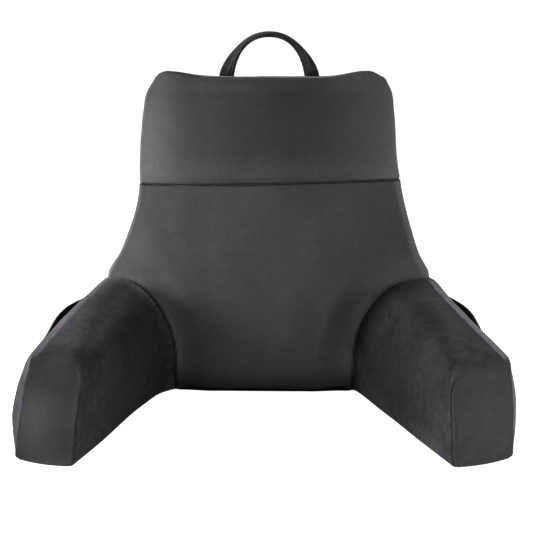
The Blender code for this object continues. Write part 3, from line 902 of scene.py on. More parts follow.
def arm_roots(points):
    """How far outside the arms' root seams a point of the front is, in metres; negative inside."""
    result = np.full(len(points), FAR_OFF)
    for side, sign in SIDES.items():
        root = ARMS[side][0]
        inward = np.maximum(root.edge_x - sign * points[:, 0], 0) / (root.edge_x - root.in_x)
        outside = np.hypot(inward, points[:, 2] / root.edge_z) - 1
        result = np.minimum(result, outside * root.in_x)
    return result


rings = back_rings()
back_cover = cover("back_cover", rings, BACK_WIDE, BACK_TALL)
flat = points_of(back_cover)
held = held_points(rings, BACK_WIDE, BACK_TALL, len(flat))
under_arms = np.where(front_of(flat) & (arm_roots(flat) < 0.004))[0]
held |= set(under_arms.tolist())
room = np.where(front_of(flat) | (flat[:, 1] > 0.05), BROAD_SWELL, SIDE_SWELL)
blow_up(back_cover, held, room)
refine(back_cover)
back_seams = ring_lines(rings, BACK_WIDE, BACK_TALL)
back_top = around(rings[-1])
print("back:", len(back_cover.data.polygons), "faces")

# %% [markdown]
# ## The arms' root seams on the back
# Each arm is sewn on along an arc. The thread draws the back's front in along the arc, and just
# outside it the filling pushes the cloth up again in a soft roll, with small ripples towards the
# armpit of the seam, where the cloth is gathered round the curve.

# %% Draw the arcs and the other seams into the back
def cover_curve(side, share, puff):
    """Up the arm's inner side and over the top to its edge seam: points that are close together."""
    inner, outer, edge = arm_corners(side, share)
    line = outward(side, share)
    power = 2 / smooth(ARMS[side], "square", share)
    upright, lean, crown = (smooth(ARMS[side], name, share) for name in ("upright", "lean", "crown"))
    foot = inner + line * np.dot(edge - inner, line)
    up = edge - foot
    curve = [inner + up * upright * k / 60 for k in range(60)]
    for angle in np.linspace(0, math.pi / 2, 241):
        rise = upright + (1 - upright) * math.sin(angle) ** power
        lifted = math.sin(2 * angle) ** 0.9 if 0 < angle < 1.57 else 0.0
        shift = (crown + 0.7 * puff) * np.array([0, 0, 1]) - (lean + 0.7 * puff) * line
        sideways = (foot - inner) * (1 - math.cos(angle) ** power)
        curve.append(inner + sideways + up * rise + lifted * shift)
    return np.array(curve)


def arm_corners(side, share):
    """The inner and the outer floor edge and the edge seam, at a share of the arm's length."""
    rows, sign = ARMS[side], SIDES[side]

    def place(name, z):
        x, reach = smooth(rows, name + "_x", share), smooth(rows, name + "_reach", share)
        return np.array([sign * x, FOOT_Y - reach, z])

    return place("in", 0.0), place("out", 0.0), place("edge", smooth(rows, "edge_z", share))


def outward(side, share):
    """Across the arm, level, from its inner side to its outer side."""
    inner, outer, _ = arm_corners(side, share)
    return (outer - inner) / np.linalg.norm(outer - inner)


def arm_length(side):
    return np.linalg.norm(arm_corners(side, 1)[0] - arm_corners(side, 0)[0])


root_arcs = {side: cover_curve(side, 0.0, 0.0) for side in SIDES}


ROLL_HEIGHT = 0.0032
ROLL_STARTS, ROLL_ENDS = 0.007, 0.040  # from the root seam


def roll_beside_arcs(piece):
    """The filling's soft roll just outside each root seam."""
    points = points_of(piece)
    outside = arm_roots(points)
    shift = np.zeros(len(points))
    for side in SIDES:
        far, _ = nearest(root_arcs[side], points)
        lift = ROLL_HEIGHT * (1 - fading(far, ROLL_STARTS)) * fading(far, ROLL_ENDS)
        shift += np.where(front_of(points) & (outside > 0), lift, 0.0)
    move_points(piece, push(piece, shift))


roll_beside_arcs(back_cover)
seams = [(line, "panel edge", 11 + 10 * k) for k, line in enumerate(back_seams)]
seams.append((back_top, "top of the back", 61))
seams += [(arc, "root on the back", 71 + 10 * k) for k, arc in enumerate(root_arcs.values())]
back_crease_shade = sew(back_cover, seams)
print("seams on the back:", len(seams))

# %% [markdown]
# ## The head section
# The head section is a cushion of its own. Its filling stands up in two soft ears at the top
# corners, and the top edge sags between them.

# %% Sew the head section
HEAD_WIDE, HEAD_TALL, HEAD_ROWS = 88, 20, 34


def head_rings():
    rings = []
    for share in tightened(HEAD_ROWS):
        level = SEAM_HEIGHT + share * (CORNER_HEIGHT - SEAM_HEIGHT)
        low = float(ramp((level - SEAM_HEIGHT) / HEAD_SEAM_FADE))
        swell = SEAM_CROWN + (HEAD_CROWN - SEAM_CROWN) * low
        swell *= math.sqrt(max(1 - share**5, 0))

        def row_height(x):
            first = CLEAR / 2 if share == 0 else 0
            return (1 - share) * seam_height(x) + share * top_height(x) + first

        def crown_at(across):
            return swell * (1 - abs(across) ** 3.0)

        rings.append(trunk_ring(level, row_height, crown_at, HEAD_WIDE, HEAD_TALL))
    return rings


def top_swell(u, v):
    lift = TOP_CROWN * 16 * u * (1 - u) * v * (1 - v)
    return lift * np.array([0, math.sin(LEAN), math.cos(LEAN)])


rings = head_rings()
head_cover = cover("head_cover", rings, HEAD_WIDE, HEAD_TALL, last_swell=top_swell)
flat = points_of(head_cover)
count = len(rings[0])
caps_start = len(rings) * count
bottom_cap = set(range(caps_start, caps_start + (HEAD_WIDE - 1) * (HEAD_TALL - 1)))
held = held_points(rings, HEAD_WIDE, HEAD_TALL, caps_start) | bottom_cap
room = np.where(front_of(flat) | (flat[:, 1] > 0.09), BROAD_SWELL, SIDE_SWELL)
blow_up(head_cover, held, room)
refine(head_cover)
head_lines = ring_lines(rings, HEAD_WIDE, HEAD_TALL)
seams = [(line, "panel edge", 111 + 10 * k) for k, line in enumerate(head_lines)]
seams += [(around(rings[0]), "foot of the head", 151), (around(rings[-1]), "top of the head", 161)]
head_crease_shade = sew(head_cover, seams)
print("head section:", len(head_cover.data.polygons), "faces")

# %% [markdown]
# ## The arms
# An arm is a sleeve that is sewn to the back at its root and closed by a flat face at its front.
# The face has a seam on its inner and outer sides, while over the top the cloth only folds. The
# two arms differ, as the stuffing of two real arms does.

# %% Sew the arms
ARM_SIDE, ARM_TOP, ARM_ROWS = 52, 28, 68
INNER_SWELL, OUTER_SWELL = 0.004, 0.003


def side_point(side, share, down):
    """A point on the arm's outer side, from the edge seam (down = 0) to the floor (down = 1)."""
    inner, outer, edge = arm_corners(side, share)
    to_face = (1 - share) * arm_length(side)
    bulge = smooth(ARMS[side], "bulge", share) * float(ramp(to_face / BULGE_FADE + 0.18))
    full = math.sqrt(max(math.sin(math.pi * down), 0))
    return (1 - down) * edge + down * outer + bulge * full * outward(side, share)


def arm_ring(side, share, pull_in, top_pull, puff):
    """One section: up the inner side, over the top to the edge seam, down the outer side and back
    along the floor."""
    inner, outer, _ = arm_corners(side, share)
    line = outward(side, share)
    forward = np.array([line[1], -line[0], 0]) * SIDES[side]
    part = ARM_SIDE / (ARM_SIDE + ARM_TOP)
    up_side, over_top = tightened(ARM_SIDE, 0.5), tightened(ARM_TOP, 0.5)[1:]
    shares = np.concatenate([part * up_side, part + (1 - part) * over_top])
    evenly = along_path(cover_curve(side, share, puff), shares)
    outside = [side_point(side, share, down) for down in up_side[1:]]
    width, middle = np.linalg.norm(outer - inner), (inner + outer) / 2
    narrower, lower = 2 * pull_in / width, top_pull / evenly[:, 2].max()
    floor_roll = ARM_FLOOR_ROLL if share > 0 else 0.0
    path = []
    for index, p in enumerate(np.concatenate([evenly, outside])):
        inward = line if index <= ARM_SIDE + ARM_TOP else -line
        q = p - narrower * np.dot(p - middle, line) * line + rolled(p[2], floor_roll) * inward
        path.append(np.array([q[0], q[1], max(p[2] * (1 - lower), 0.0)]))
    floor = [path[-1] + (path[0] - path[-1]) * t for t in over_top[:-1]]
    bow = FACE_BOW * float(ramp((share - 0.75) / 0.25))
    ring = []
    for p in path + floor:
        across = min(max(np.dot(p - inner, line) / width, 0), 1)
        ring.append(p + forward * bow * 4 * across * (1 - across))
    return np.array(ring)


def face_forward(side):
    inner, outer, edge = arm_corners(side, 1)
    forward = np.cross(outer - inner, edge - inner) * SIDES[side]
    return forward / np.linalg.norm(forward)


on_face = {}  # 1 on the front face of an arm, 0 on its sleeve


def make_arm(side):
    length = arm_length(side)
    rings = []
    for share in tightened(ARM_ROWS, 0.7):
        to_face = (1 - share) * length
        puff = ARM_PUFF * (1 - math.exp(-share * length / PUFF_LENGTH))
        drawn_in, folded = rolled(to_face, FACE_ROLL), rolled(to_face, TOP_FOLD[side])
        rings.append(arm_ring(side, share, drawn_in, folded, puff))
    rings[0][:, 1] -= 2 * CLEAR

    def face_swell(up, across):
        level = ramp(up / 0.35) * ramp((1 - up) / 0.55)
        return face_forward(side) * (FACE_CROWN * level * 4 * across * (1 - across))

    piece = cover("arm_cover_" + side, rings, ARM_SIDE, ARM_TOP, last_swell=face_swell)
    flat = points_of(piece)
    count = len(rings[0])
    held = set(range(count))
    first_cap = (ARM_SIDE - 1) * (ARM_TOP - 1)
    held |= set(range(len(rings) * count, len(rings) * count + first_cap))
    edge_column = ARM_SIDE + ARM_TOP
    held |= {r * count + edge_column for r in range(len(rings))}
    held |= set(np.where(flat[:, 2] < 0.0005)[0].tolist())
    last = (len(rings) - 1) * count
    held |= {last + c for c in range(ARM_SIDE + 1)}
    held |= {last + c for c in range(edge_column, edge_column + ARM_SIDE + 1)}
    room = np.full(len(flat), INNER_SWELL)
    for r in range(len(rings)):
        room[r * count + edge_column : r * count + edge_column + ARM_SIDE + 1] = OUTER_SWELL
    blow_up(piece, held, room)
    refine(piece)
    faces_front = (points_of(piece) - rings[-1][0]) @ face_forward(side) > -0.045
    on_face[side] = faces_front * ramp((normals_of(piece) @ face_forward(side) - 0.25) / 0.60)
    lines = {
        "root": rings[0][: edge_column + 1],
        "inner": rings[-1][: ARM_SIDE + 1],
        "outer": rings[-1][edge_column : edge_column + ARM_SIDE + 1],
        "edge": np.array([ring[edge_column - 5] for ring in rings]),
    }
    return piece, lines


def soft_foot(piece, root):
    """Less painted seam shade where the root seam nears the floor, because the cloth lies slack
    there.
    """
    points = points_of(piece)
    far, _ = nearest(root, points)
    return 1 - 0.75 * (1 - ramp(points[:, 2] / 0.045)) * fading(far, 0.006)


FACE_SEAM_TOP = {"left": 0.118, "right": 0.128}  # above this the face only folds
arm_covers, arm_lines, arm_crease_shades = {}, {}, {}
for side in SIDES:
    piece, lines = make_arm(side)
    lines["inner"] = lines["inner"][lines["inner"][:, 2] < FACE_SEAM_TOP[side]]
    seams = [(line, name, 211 + 10 * k) for k, (name, line) in enumerate(lines.items())]
    arm_crease_shades[side] = sew(piece, seams) * soft_foot(piece, lines["root"])
    arm_covers[side], arm_lines[side] = piece, lines
    print(piece.name, len(piece.data.polygons), "faces")

# %% [markdown]
# ## Welts and gathers beside the faces
# The seam allowance behind the inner seam of the right face pushes the cloth up into a narrow
# welt between two fine lines, and on the left it lies flat. Beside both seams the sleeve is a
# little too long, so the machinist eased it in: a few short folds stand side by side there, and
# the cloth is nipped near the floor. A nip has a height, a radius and a depth.

# %% Raise the welts and ease in the sleeves
WELTS = {"left": 0.0, "right": 1.0}
GATHERS = {"left": (0.067, 0.0755, 0.084, 0.0925), "right": (0.096, 0.1025, 0.109, 0.1155)}
FOLD_HEIGHT, FOLD_DIP, FOLD_WIDE = 0.0008, 0.0005, 0.0017
NIPS = {"left": ((0.012, 0.004, 0.0016), (0.031, 0.005, 0.0012), (0.043, 0.004, 0.0010)),
        "right": ((0.058, 0.004, 0.0008), (0.020, 0.004, 0.0007))}


def ease_in(side):
    """Adds the welt, the short folds and the nips to an arm's cover, with painted shade in the nips.
    """
    piece = arm_covers[side]
    points = points_of(piece)
    far, _ = nearest(arm_lines[side]["inner"], points)
    height = points[:, 2]
    face = on_face[side]
    below = 1 - ramp((height - FACE_SEAM_TOP[side] + 0.022) / 0.020)
    welt = 0.0007 * hump(far, 0.0022, 0.0010)
    welt -= 0.0005 * hump(far, 0.0043, 0.0008)
    welt *= WELTS[side]
    shift = face * below * welt
    beside = (1 - face) * fading(far, 0.011) * (1 - np.exp(-far / 0.0015))
    for z in GATHERS[side]:
        shift += beside * FOLD_HEIGHT * hump(height, z, FOLD_WIDE)
        shift -= beside * FOLD_DIP * hump(height, z - 0.0036, FOLD_WIDE)
    for z, radius, depth in NIPS[side]:
        near = np.hypot(far - 0.0015, height - z)
        nip = (1 - face) * fading(near, radius)
        shift -= depth * nip
        # painted shade in the nip
        arm_crease_shades[side] = np.maximum(arm_crease_shades[side], 0.6 * nip)
    move_points(piece, above_floor(push(piece, shift)))
    print(piece.name, "eased in, folds at", GATHERS[side])


def pinch(side, start, end, dimples):
    """A short raised fold from the root seam, and dimples (place, radius, depth) where it ends, with
    painted shade in the dimples.
    """
    piece = arm_covers[side]
    points = points_of(piece)
    far, _ = nearest(np.array([start, end]), points)
    fold = fading(far, 0.0022)
    beside = hump(far, 0.0042, 0.0020)
    shift = 0.0016 * fold - 0.0007 * beside
    for place, radius, depth in dimples:
        dimple = fading(np.linalg.norm(points - place, axis=1), radius)
        shift -= depth * dimple
        # painted shade in the dimple
        arm_crease_shades[side] = np.maximum(arm_crease_shades[side], 0.50 * dimple)
    move_points(piece, push(piece, shift))


for side in SIDES:
    ease_in(side)
FOLD = (0.179, -0.112, 0.142), (0.187, -0.148, 0.142)
DIMPLES = ((0.189, -0.153, 0.142), 0.0036, 0.0016), ((0.197, -0.185, 0.141), 0.0050, 0.0012)
pinch("right", *FOLD, DIMPLES)

# %% [markdown]
# ## Lumps of filling, the lie of the nap, and painted light and shade
# Crumbled foam never fills a cover evenly, so every panel gets slow swells of about a millimetre.
# Light and shade are painted on each panel, together with how its pile lies: the sleeves of the
# arms lie darker than their faces, partly by their nap and partly as painted shade, the left of the
# head section and some edges get painted highlights, and the back's foot and the upper corner of
# the right arm's root get painted shade.

# %% Settle the filling and paint light and shade on the nap
LUMP_HEIGHT = 0.0006


def settle(piece, seed):
    points = points_of(piece)
    swell = LUMP_HEIGHT * (lumps(points, 0.085, seed) + 0.30 * lumps(points, 0.038, seed + 1))
    move_points(piece, push(piece, swell * ramp(points[:, 2] / 0.03)))


def paint_nap_and_light(piece, crease_shade, nap_and_light, sleeve=None):
    # the painted seam shade, the painted light and shade with the lie of the nap, and the sleeves
    paint(piece, "crease_shade", crease_shade)
    paint(piece, "nap_and_light", nap_and_light)
    paint(piece, "sleeve", np.zeros(len(nap_and_light)) if sleeve is None else sleeve)
    print(piece.name, "tone from", round(float(np.min(nap_and_light)), 2), "to", round(float(np.max(nap_and_light)), 2))


NAP_AND_LIGHT = {  # how the nap lies on the left arm and on the right one, with painted light and shade on it
    "deep": (0.238, 0.255),  # inner side, far from the face
    "front_inside": (0.54, 0.56),  # inner side, by the face
    "top": (0.80, 1.02),
    "inner_top": (1.12, 0.42),  # where the top turns down to the inner side
    "front_top": (-0.46, 0.10),  # painted shade (left) or painted light (right) on the top by the face
    "outside": (0.62, 1.95),
    "strip": (1.10, 3.20),  # painted highlight added past the edge seam
    "root": (1.25, -0.45),  # painted light (left) or painted shade (right) beside the root seam
    "shadow": (0.00, 0.35),  # painted shade in the upper corner of the root
    "foot": (0.00, 0.80),  # painted light along the foot of the inner side
    # the face is painted paler at its inner seam than at its outer one
    "face_inner": (1.20, 1.20),
    "face_outer": (0.32, 0.80),
    "face_foot": (0.84, 1.00),  # painted shade: share that is left at the face's foot
    "face_top": (0.62, 0.92),  # and at its top
    "starts": (0.52, 0.15),  # how far a point has to face inwards to be on the inner side
}
NapAndLight = namedtuple("NapAndLight", NAP_AND_LIGHT)
ARM_NAP_AND_LIGHT = {side: NapAndLight(*values) for side, values in zip(SIDES, zip(*NAP_AND_LIGHT.values()))}

# patches of painted light (gain above 0) and painted shade (gain below 0) on the back's front
LightPatch = namedtuple("LightPatch", "gain x wide z tall")
BACK_LIGHT_PATCHES = [
    LightPatch(0.72, -0.235, 0.050, 0.205, 0.060),
    LightPatch(-0.10, 0.230, 0.050, 0.205, 0.060),
    LightPatch(0.25, 0.000, 0.090, 0.080, 0.040),
    LightPatch(0.45, -0.215, 0.040, 0.318, 0.030),
    LightPatch(-0.22, 0.055, 0.050, 0.315, 0.030),
    LightPatch(-0.34, -0.115, 0.045, 0.045, 0.060),
]


def beyond_seam(side, name, points):
    """How far outside of one of an arm's seams its points are, measured level across the arm."""
    line = arm_lines[side][name]
    tree = tree_of(line)
    across = outward(side, 1)
    return np.array([(p - line[tree.find(p)[1]]) @ across for p in points])


def head_painted_light(points):
    """Painted light and shade on the head section's front: painted highlights at its sides, most of
    all on the left, paler above the head seam and along the top, a little darker right of the
    middle near the top. Its sides and rear are toned as the side panels.
    """
    x, z = points[:, 0], points[:, 2]
    # painted highlights at the left and right sides of the front
    left = 1.15 * hump(x, -0.215, 0.078) * (1 - 0.35 * ramp((z - 0.40) / 0.08))
    right = 0.80 * hump(x, 0.215, 0.090) * (1 - 0.20 * ramp((z - 0.40) / 0.08))
    right += 0.45 * hump(x, 0.212, 0.020) + 0.25 * hump(x, 0.208, 0.014) * ramp((z - 0.35) / 0.02)
    nap_and_light = 0.57 + left + right + 0.12 * hump(x, -0.070, 0.055)
    nap_and_light += (0.25 + 0.15 * hump(x, -0.030, 0.070)) * (1 - ramp((z - 0.330) / 0.055))
    nap_and_light += ramp((z - 0.455) / 0.020) * (0.10 + 0.16 * hump(x, -0.080, 0.060))
    nap_and_light -= 0.07 * hump(x, 0.060, 0.060) * ramp((z - 0.420) / 0.040)
    return np.where(front_of(points), nap_and_light, side_painted_highlight(points))


def back_painted_light(points):
    """Painted light and shade on the back's front: patches of both, painted light beside the arms,
    painted highlight strips along its two front edge seams, and painted shade along its foot.
    """
    x, z = points[:, 0], points[:, 2]
    nap_and_light = np.ones(len(points))
    for patch in BACK_LIGHT_PATCHES:
        nap_and_light += patch.gain * hump(x, patch.x, patch.wide) * hump(z, patch.z, patch.tall)
    nap_and_light -= 0.07 * hump(x, 0.050, 0.050) * ramp((z - 0.15) / 0.05)
    nap_and_light -= 0.10 * ramp((x - 0.07) / 0.09) * ramp((z - 0.12) / 0.06)
    # painted light beside the arms' root seams
    for side, gain, wide in (("left", 0.46, 0.028), ("right", 0.50, 0.038)):
        far, _ = nearest(root_arcs[side], points)
        beside = gain * fading(far, wide) + 0.75 * fading(far, 0.009)
        nap_and_light += beside * ramp((z - 0.01) / 0.04)
    # painted shade along the foot
    nap_and_light *= 1 - (0.74 - 0.14 * ramp((x - 0.05) / 0.05)) * (1 - ramp((z - 0.004) / 0.040))
    # painted highlight strips along the left and right front edge seams
    for line, gain, wide in ((back_seams[0], 0.20, 0.004), (back_seams[1], 1.05, 0.0085)):
        far, _ = nearest(line, points)
        nap_and_light += gain * fading(far, wide, 4)
    return np.where(front_of(points), nap_and_light, side_painted_highlight(points))


def shade_under_back(points):
    """The back's foot rolls under between the arms, and no light gets into that gap."""
    x, z = points[:, 0], points[:, 2]
    under = ramp((0.140 - np.abs(x)) / 0.02) * (1 - ramp((z - 0.0065) / 0.003))
    return np.where(front_of(points), under, 0.0)


def shade_by_root(points):
    """The right arm leans in over its root, so the upper part of that corner is in shade."""
    far, _ = nearest(arm_lines["right"]["root"], points)
    return 0.72 * fading(far, 0.045) * ramp((points[:, 2] - 0.05) / 0.03)


def side_painted_highlight(points):
    """The side panels and the rear, with a painted highlight on the right side panel where it meets
    the front.
    """
    reach = points[:, 1] - FOOT_Y - points[:, 2] * math.tan(LEAN)
    return 0.95 + 1.5 * (points[:, 0] > 0.15) * (1 - ramp((reach - 0.02) / 0.05))


def arm_nap_and_light(side, points, normals):
    """The nap of an arm's sleeve with light and shade painted on it: darkest on its inner side,
    partly by its nap and partly as painted shade, with painted light and shade by its root and a
    painted highlight strip past its edge seam. Its face is painted paler at its inner seam.
    """
    inner, outer, _ = arm_corners(side, 1)
    forward, line = face_forward(side), outward(side, 1)
    reach, height = (points - inner) @ forward, points[:, 2]
    turned = normals @ line
    face = on_face[side] * (1 - ramp(beyond_seam(side, "outer", points) / 0.0015))
    nap = ARM_NAP_AND_LIGHT[side]
    inside = ramp((-turned - nap.starts) / (0.90 - nap.starts))
    outside = ramp((turned - 0.35) / 0.40)
    inner_tone = nap.front_inside + (nap.deep - nap.front_inside) * ramp(-reach / 0.16)
    inner_tone *= 1 - 0.28 * ramp((height - 0.060) / 0.035) * ramp((reach + 0.10) / 0.06)
    top_tone = nap.top + (nap.inner_top - nap.top) * hump(turned, -0.45, 0.35)
    top_tone *= 1 + nap.front_top * ramp((reach + 0.06) / 0.05)
    nap_and_light = top_tone * (1 - inside - outside) + inner_tone * inside + nap.outside * outside
    root_far, _ = nearest(arm_lines[side]["root"], points)
    edge_far, _ = nearest(arm_lines[side]["edge"], points)
    # painted light or shade beside the root seam, painted shade in its upper corner, and painted
    # light along the foot of the inner side
    nap_and_light *= 1 + nap.root * fading(root_far, 0.022)
    nap_and_light *= 1 - nap.shadow * fading(root_far, 0.065) * ramp((height - 0.05) / 0.04)
    nap_and_light *= 1 + nap.foot * (1 - ramp(height / 0.050)) * ramp(root_far / 0.050) * ramp(-reach / 0.060)
    # a painted highlight strip past the edge seam
    strip = fading(edge_far, 0.016, 4) * (beyond_seam(side, "edge", points) > 0)
    nap_and_light += nap.strip * strip
    # the face: painted paler at its inner seam, darker at its foot and at its top
    across = np.clip((points - inner) @ line / np.linalg.norm(outer - inner), 0, 1)
    face_tone = nap.face_inner + (nap.face_outer - nap.face_inner) * across
    face_tone *= 1 + (nap.face_foot - 1) * (1 - ramp((height - 0.02) / 0.05))
    face_tone *= 1 + (nap.face_top - 1) * ramp((height - 0.075) / 0.040)
    return nap_and_light * (1 - face) + face_tone * face, 1 - face


for seed, piece in enumerate([back_cover, head_cover, *arm_covers.values()]):
    settle(piece, 301 + 10 * seed)
back_crease_shade = np.maximum(back_crease_shade, shade_under_back(points_of(back_cover)))
paint_nap_and_light(back_cover, back_crease_shade, back_painted_light(points_of(back_cover)))
paint_nap_and_light(head_cover, head_crease_shade, head_painted_light(points_of(head_cover)))
root_shade = shade_by_root(points_of(arm_covers["right"]))
arm_crease_shades["right"] = np.maximum(arm_crease_shades["right"], root_shade)
for side, piece in arm_covers.items():
    nap_and_light, sleeve = arm_nap_and_light(side, points_of(piece), normals_of(piece))
    paint_nap_and_light(piece, arm_crease_shades[side], nap_and_light, sleeve)

# %% [markdown]
# ## The carry strap
# The strap is a flat tube of the same velour, stitched along both edges. It is sewn in at the top
# seam with its face to the front, and the loop twists edge-on over the top. It is modelled
# directly, as a rounded flat section swept along the loop, because a simulation of a thin strap
# gains nothing over the known path.

# %% Sew the strap
STRAP_WIDTH = 0.024
STRAP_THICK = 0.0075
STRAP_HALF_SPAN = 0.068
STRAP_TOP = 0.5505
STRAP_MIDDLE = 0.0015
STRAP_Y = 0.024
STRAP_LEAN = 0.09
STRAP_TURN = math.radians(12), math.radians(86)  # at the feet, at the top
STRAP_ROWS = 120
STRAP_ROUND = 52
STRAP_OVERLAP = 0.001  # one edge is folded over the other along the rear
STITCHED = 0.40  # where the stitches run, as a share of the width from the middle


def seat_of_strap():
    """Gives the function that finds the height of the head cover's top at a place."""
    graph = bpy.context.evaluated_depsgraph_get()
    graph.update()
    tree = BVHTree.FromObject(head_cover, graph)

    def surface(x, y):
        return tree.ray_cast(Vector((x, y, 1.0)), Vector((0, 0, -1)))[0].z

    return surface


surface = seat_of_strap()


def strap_place(share):
    """The middle of the strap and the directions of its width and its thickness. share: 0 at the
    left foot, 1 at the right one."""
    angle = math.pi * (1 - share)
    foot_z = surface(STRAP_MIDDLE + math.copysign(STRAP_HALF_SPAN, share - 0.5), STRAP_Y)

    def middle(at):
        half = STRAP_HALF_SPAN * (1 - STRAP_LEAN * math.sin(2 * at) * math.copysign(1, math.cos(at)))
        height = foot_z + (STRAP_TOP - foot_z) * math.sin(at)
        return np.array([STRAP_MIDDLE + half * math.cos(at), STRAP_Y, height])

    along = middle(angle - 0.01) - middle(angle + 0.01)
    along = along / np.linalg.norm(along)
    across = np.cross(along, [0, 1, 0])
    turn = STRAP_TURN[1] - (STRAP_TURN[1] - STRAP_TURN[0]) * (1 - math.sin(angle)) ** 1.7
    width = math.cos(turn) * across + math.sin(turn) * np.array([0, 1, 0])
    return middle(angle), width, np.cross(width, along)


def strap_section():
    """Points round the strap's section: across, up and the face they are on (-1 is the front)."""
    section = []
    for face in (1, -1):
        for t in np.linspace(1, -1, STRAP_ROUND // 2, endpoint=False):
            across = face * math.sin(math.pi / 2 * t) / 2
            rounding = (2 * abs(across)) ** 4.4
            up = face * max(1 - rounding, 0.0) ** 0.275 / 2
            section.append((across, up, face))
    return section


def make_strap():
    """The strap, its stitch lines, and the places (across, share, face) of its points."""
    mesh = bmesh.new()
    rows = []
    places = []
    lines = {-1: [], 1: []}
    for k in range(STRAP_ROWS + 1):
        place, width, thick = strap_place(k / STRAP_ROWS)
        row = []
        for across, up, face in strap_section():
            stitched = 1 - 0.22 * math.exp(-(((abs(across) - STITCHED) / 0.035) ** 2))
            overlap = STRAP_OVERLAP * float(ramp((0.12 - across * face) / 0.10))
            tall = stitched * STRAP_THICK - STRAP_OVERLAP + overlap
            p = place + width * across * STRAP_WIDTH + thick * up * tall
            places.append((across, k / STRAP_ROWS, face))
            if k in (0, STRAP_ROWS):
                p[2] = surface(p[0], p[1]) - 0.0005
            row.append(mesh.verts.new(Vector(p)))
        rows.append(row)
        for sign in lines:
            for face in (-1, 1):
                on_width = width * sign * STITCHED * STRAP_WIDTH
                lines[sign].append(place + on_width + thick * face * 0.39 * STRAP_THICK)
    for lower, upper in zip(rows, rows[1:]):
        for i in range(STRAP_ROUND):
            j = (i + 1) % STRAP_ROUND
            mesh.faces.new((lower[i], lower[j], upper[j], upper[i]))
    mesh.faces.new(rows[0])
    mesh.faces.new(rows[-1])
    bmesh.ops.recalc_face_normals(mesh, faces=mesh.faces)
    piece = add_object("strap", mesh)
    paths = [np.array(lines[sign][start::2]) for sign in lines for start in (0, 1)]
    return piece, paths, np.array(places).T


def strap_streaks_and_light(across, share, face):
    """Painted shade and tone of the strap: random streaks along it, a painted highlight along a
    twisted fold up its left foot with painted shade beside it, painted light on its right foot, and
    painted shade on the rear where one edge is folded over the other.
    """
    drawn_out = np.stack([across * STRAP_WIDTH, share * 0.045, 0.01 * face], axis=1)
    streaks = lumps(drawn_out, 0.0045, 401)
    nap_and_light = 0.48 + 0.26 * streaks
    twist = across - (0.08 - 2.6 * share)
    front = face < 0
    # a painted highlight along the twisted fold, painted shade beside it, and painted light on the
    # right foot
    nap_and_light += front * (share < 0.24) * (0.55 * hump(twist, 0.0, 0.045) - 0.14 * ramp(-twist / 0.05))
    nap_and_light += 0.28 * front * ramp((share - 0.74) / 0.08) * hump(across, -0.18, 0.22)
    # painted shade on the rear, along the edge that is folded over
    return 0.5 * hump(across * face, 0.10, 0.05) * (1 - front), np.maximum(nap_and_light, 0.1)


strap, strap_paths, strap_places = make_strap()
paint_nap_and_light(strap, *strap_streaks_and_light(*strap_places))
print("strap:", len(strap.data.polygons), "faces")

# %% [markdown]
# ## The pockets
# Each pocket is one patch of cloth on the outer side of the arm, sewn at its two ends and its
# foot. Its mouth stands open a little and is edged with the dark tape. A patch this flat is a
# surface between two grids of points: the near side and the far side of the cloth.

# %% Sew the pockets
POCKET_ROWS, POCKET_COLUMNS = 28, 60
POCKET_THICK = 0.0020
BINDING_THICK = 0.0030
BINDING_TALL = 0.010
POCKET_OFF = 0.0006  # off the arm
POCKET_GAPE = 0.015  # how far the mouth stands open
POCKET_WIDEST = 0.7  # below 1, its widest place lies towards the back
POCKET_ENDS = {"left": (0.12, 0.76), "right": (0.12, 0.70)}
POCKET_FLOOR, POCKET_MOUTH = 0.86, 0.170  # shares of the way down the arm's side
POCKET_FLAT = {"left": (0.205, 0.120), "right": (0.185, 0.120)}


def pocket_point(side, along, up, off):
    """A point of the pocket. along and up: 0 to 1 over its cloth, up > 1 beyond its mouth."""
    first, last = POCKET_ENDS[side]
    share = first + (last - first) * along
    down = POCKET_FLOOR + (POCKET_MOUTH - POCKET_FLOOR) * up
    gape = POCKET_GAPE * max(up, 0) ** 1.2 * max(math.sin(math.pi * along**POCKET_WIDEST), 0) ** 1.5
    return side_point(side, share, down) + (POCKET_OFF + gape + off) * outward(side, share)


def sheet_between(name, near, far):
    """A closed sheet between two grids of points."""
    mesh = bmesh.new()
    tall, wide = len(near) - 1, len(near[0]) - 1
    layers = [[[mesh.verts.new(Vector(p)) for p in row] for row in grid] for grid in (near, far)]
    for layer in layers:
        for j in range(tall):
            for i in range(wide):
                mesh.faces.new((layer[j][i], layer[j][i + 1], layer[j + 1][i + 1], layer[j + 1][i]))
    rim = [(0, i) for i in range(wide)] + [(j, wide) for j in range(tall)]
    rim += [(tall, i) for i in range(wide, 0, -1)] + [(j, 0) for j in range(tall, 0, -1)]
    for a, b in zip(rim, rim[1:] + rim[:1]):
        low, high = layers
        mesh.faces.new((low[a[0]][a[1]], low[b[0]][b[1]], high[b[0]][b[1]], high[a[0]][a[1]]))
    bmesh.ops.recalc_face_normals(mesh, faces=mesh.faces)
    return add_object(name, mesh)


def make_pocket(side):
    ups = np.linspace(0, 1, POCKET_ROWS + 1)
    alongs = np.linspace(0, 1, POCKET_COLUMNS + 1)

    def grid(thick):
        result = []
        for up in ups:
            row = []
            for along in alongs:
                sag = 0.0010 * math.sin(5 * math.pi * along + 2 * up) * math.sin(math.pi * along) * up
                row.append(pocket_point(side, along, up, thick + sag))
            result.append(row)
        return result

    return sheet_between("pocket_cloth_" + side, grid(0.0), grid(POCKET_THICK))


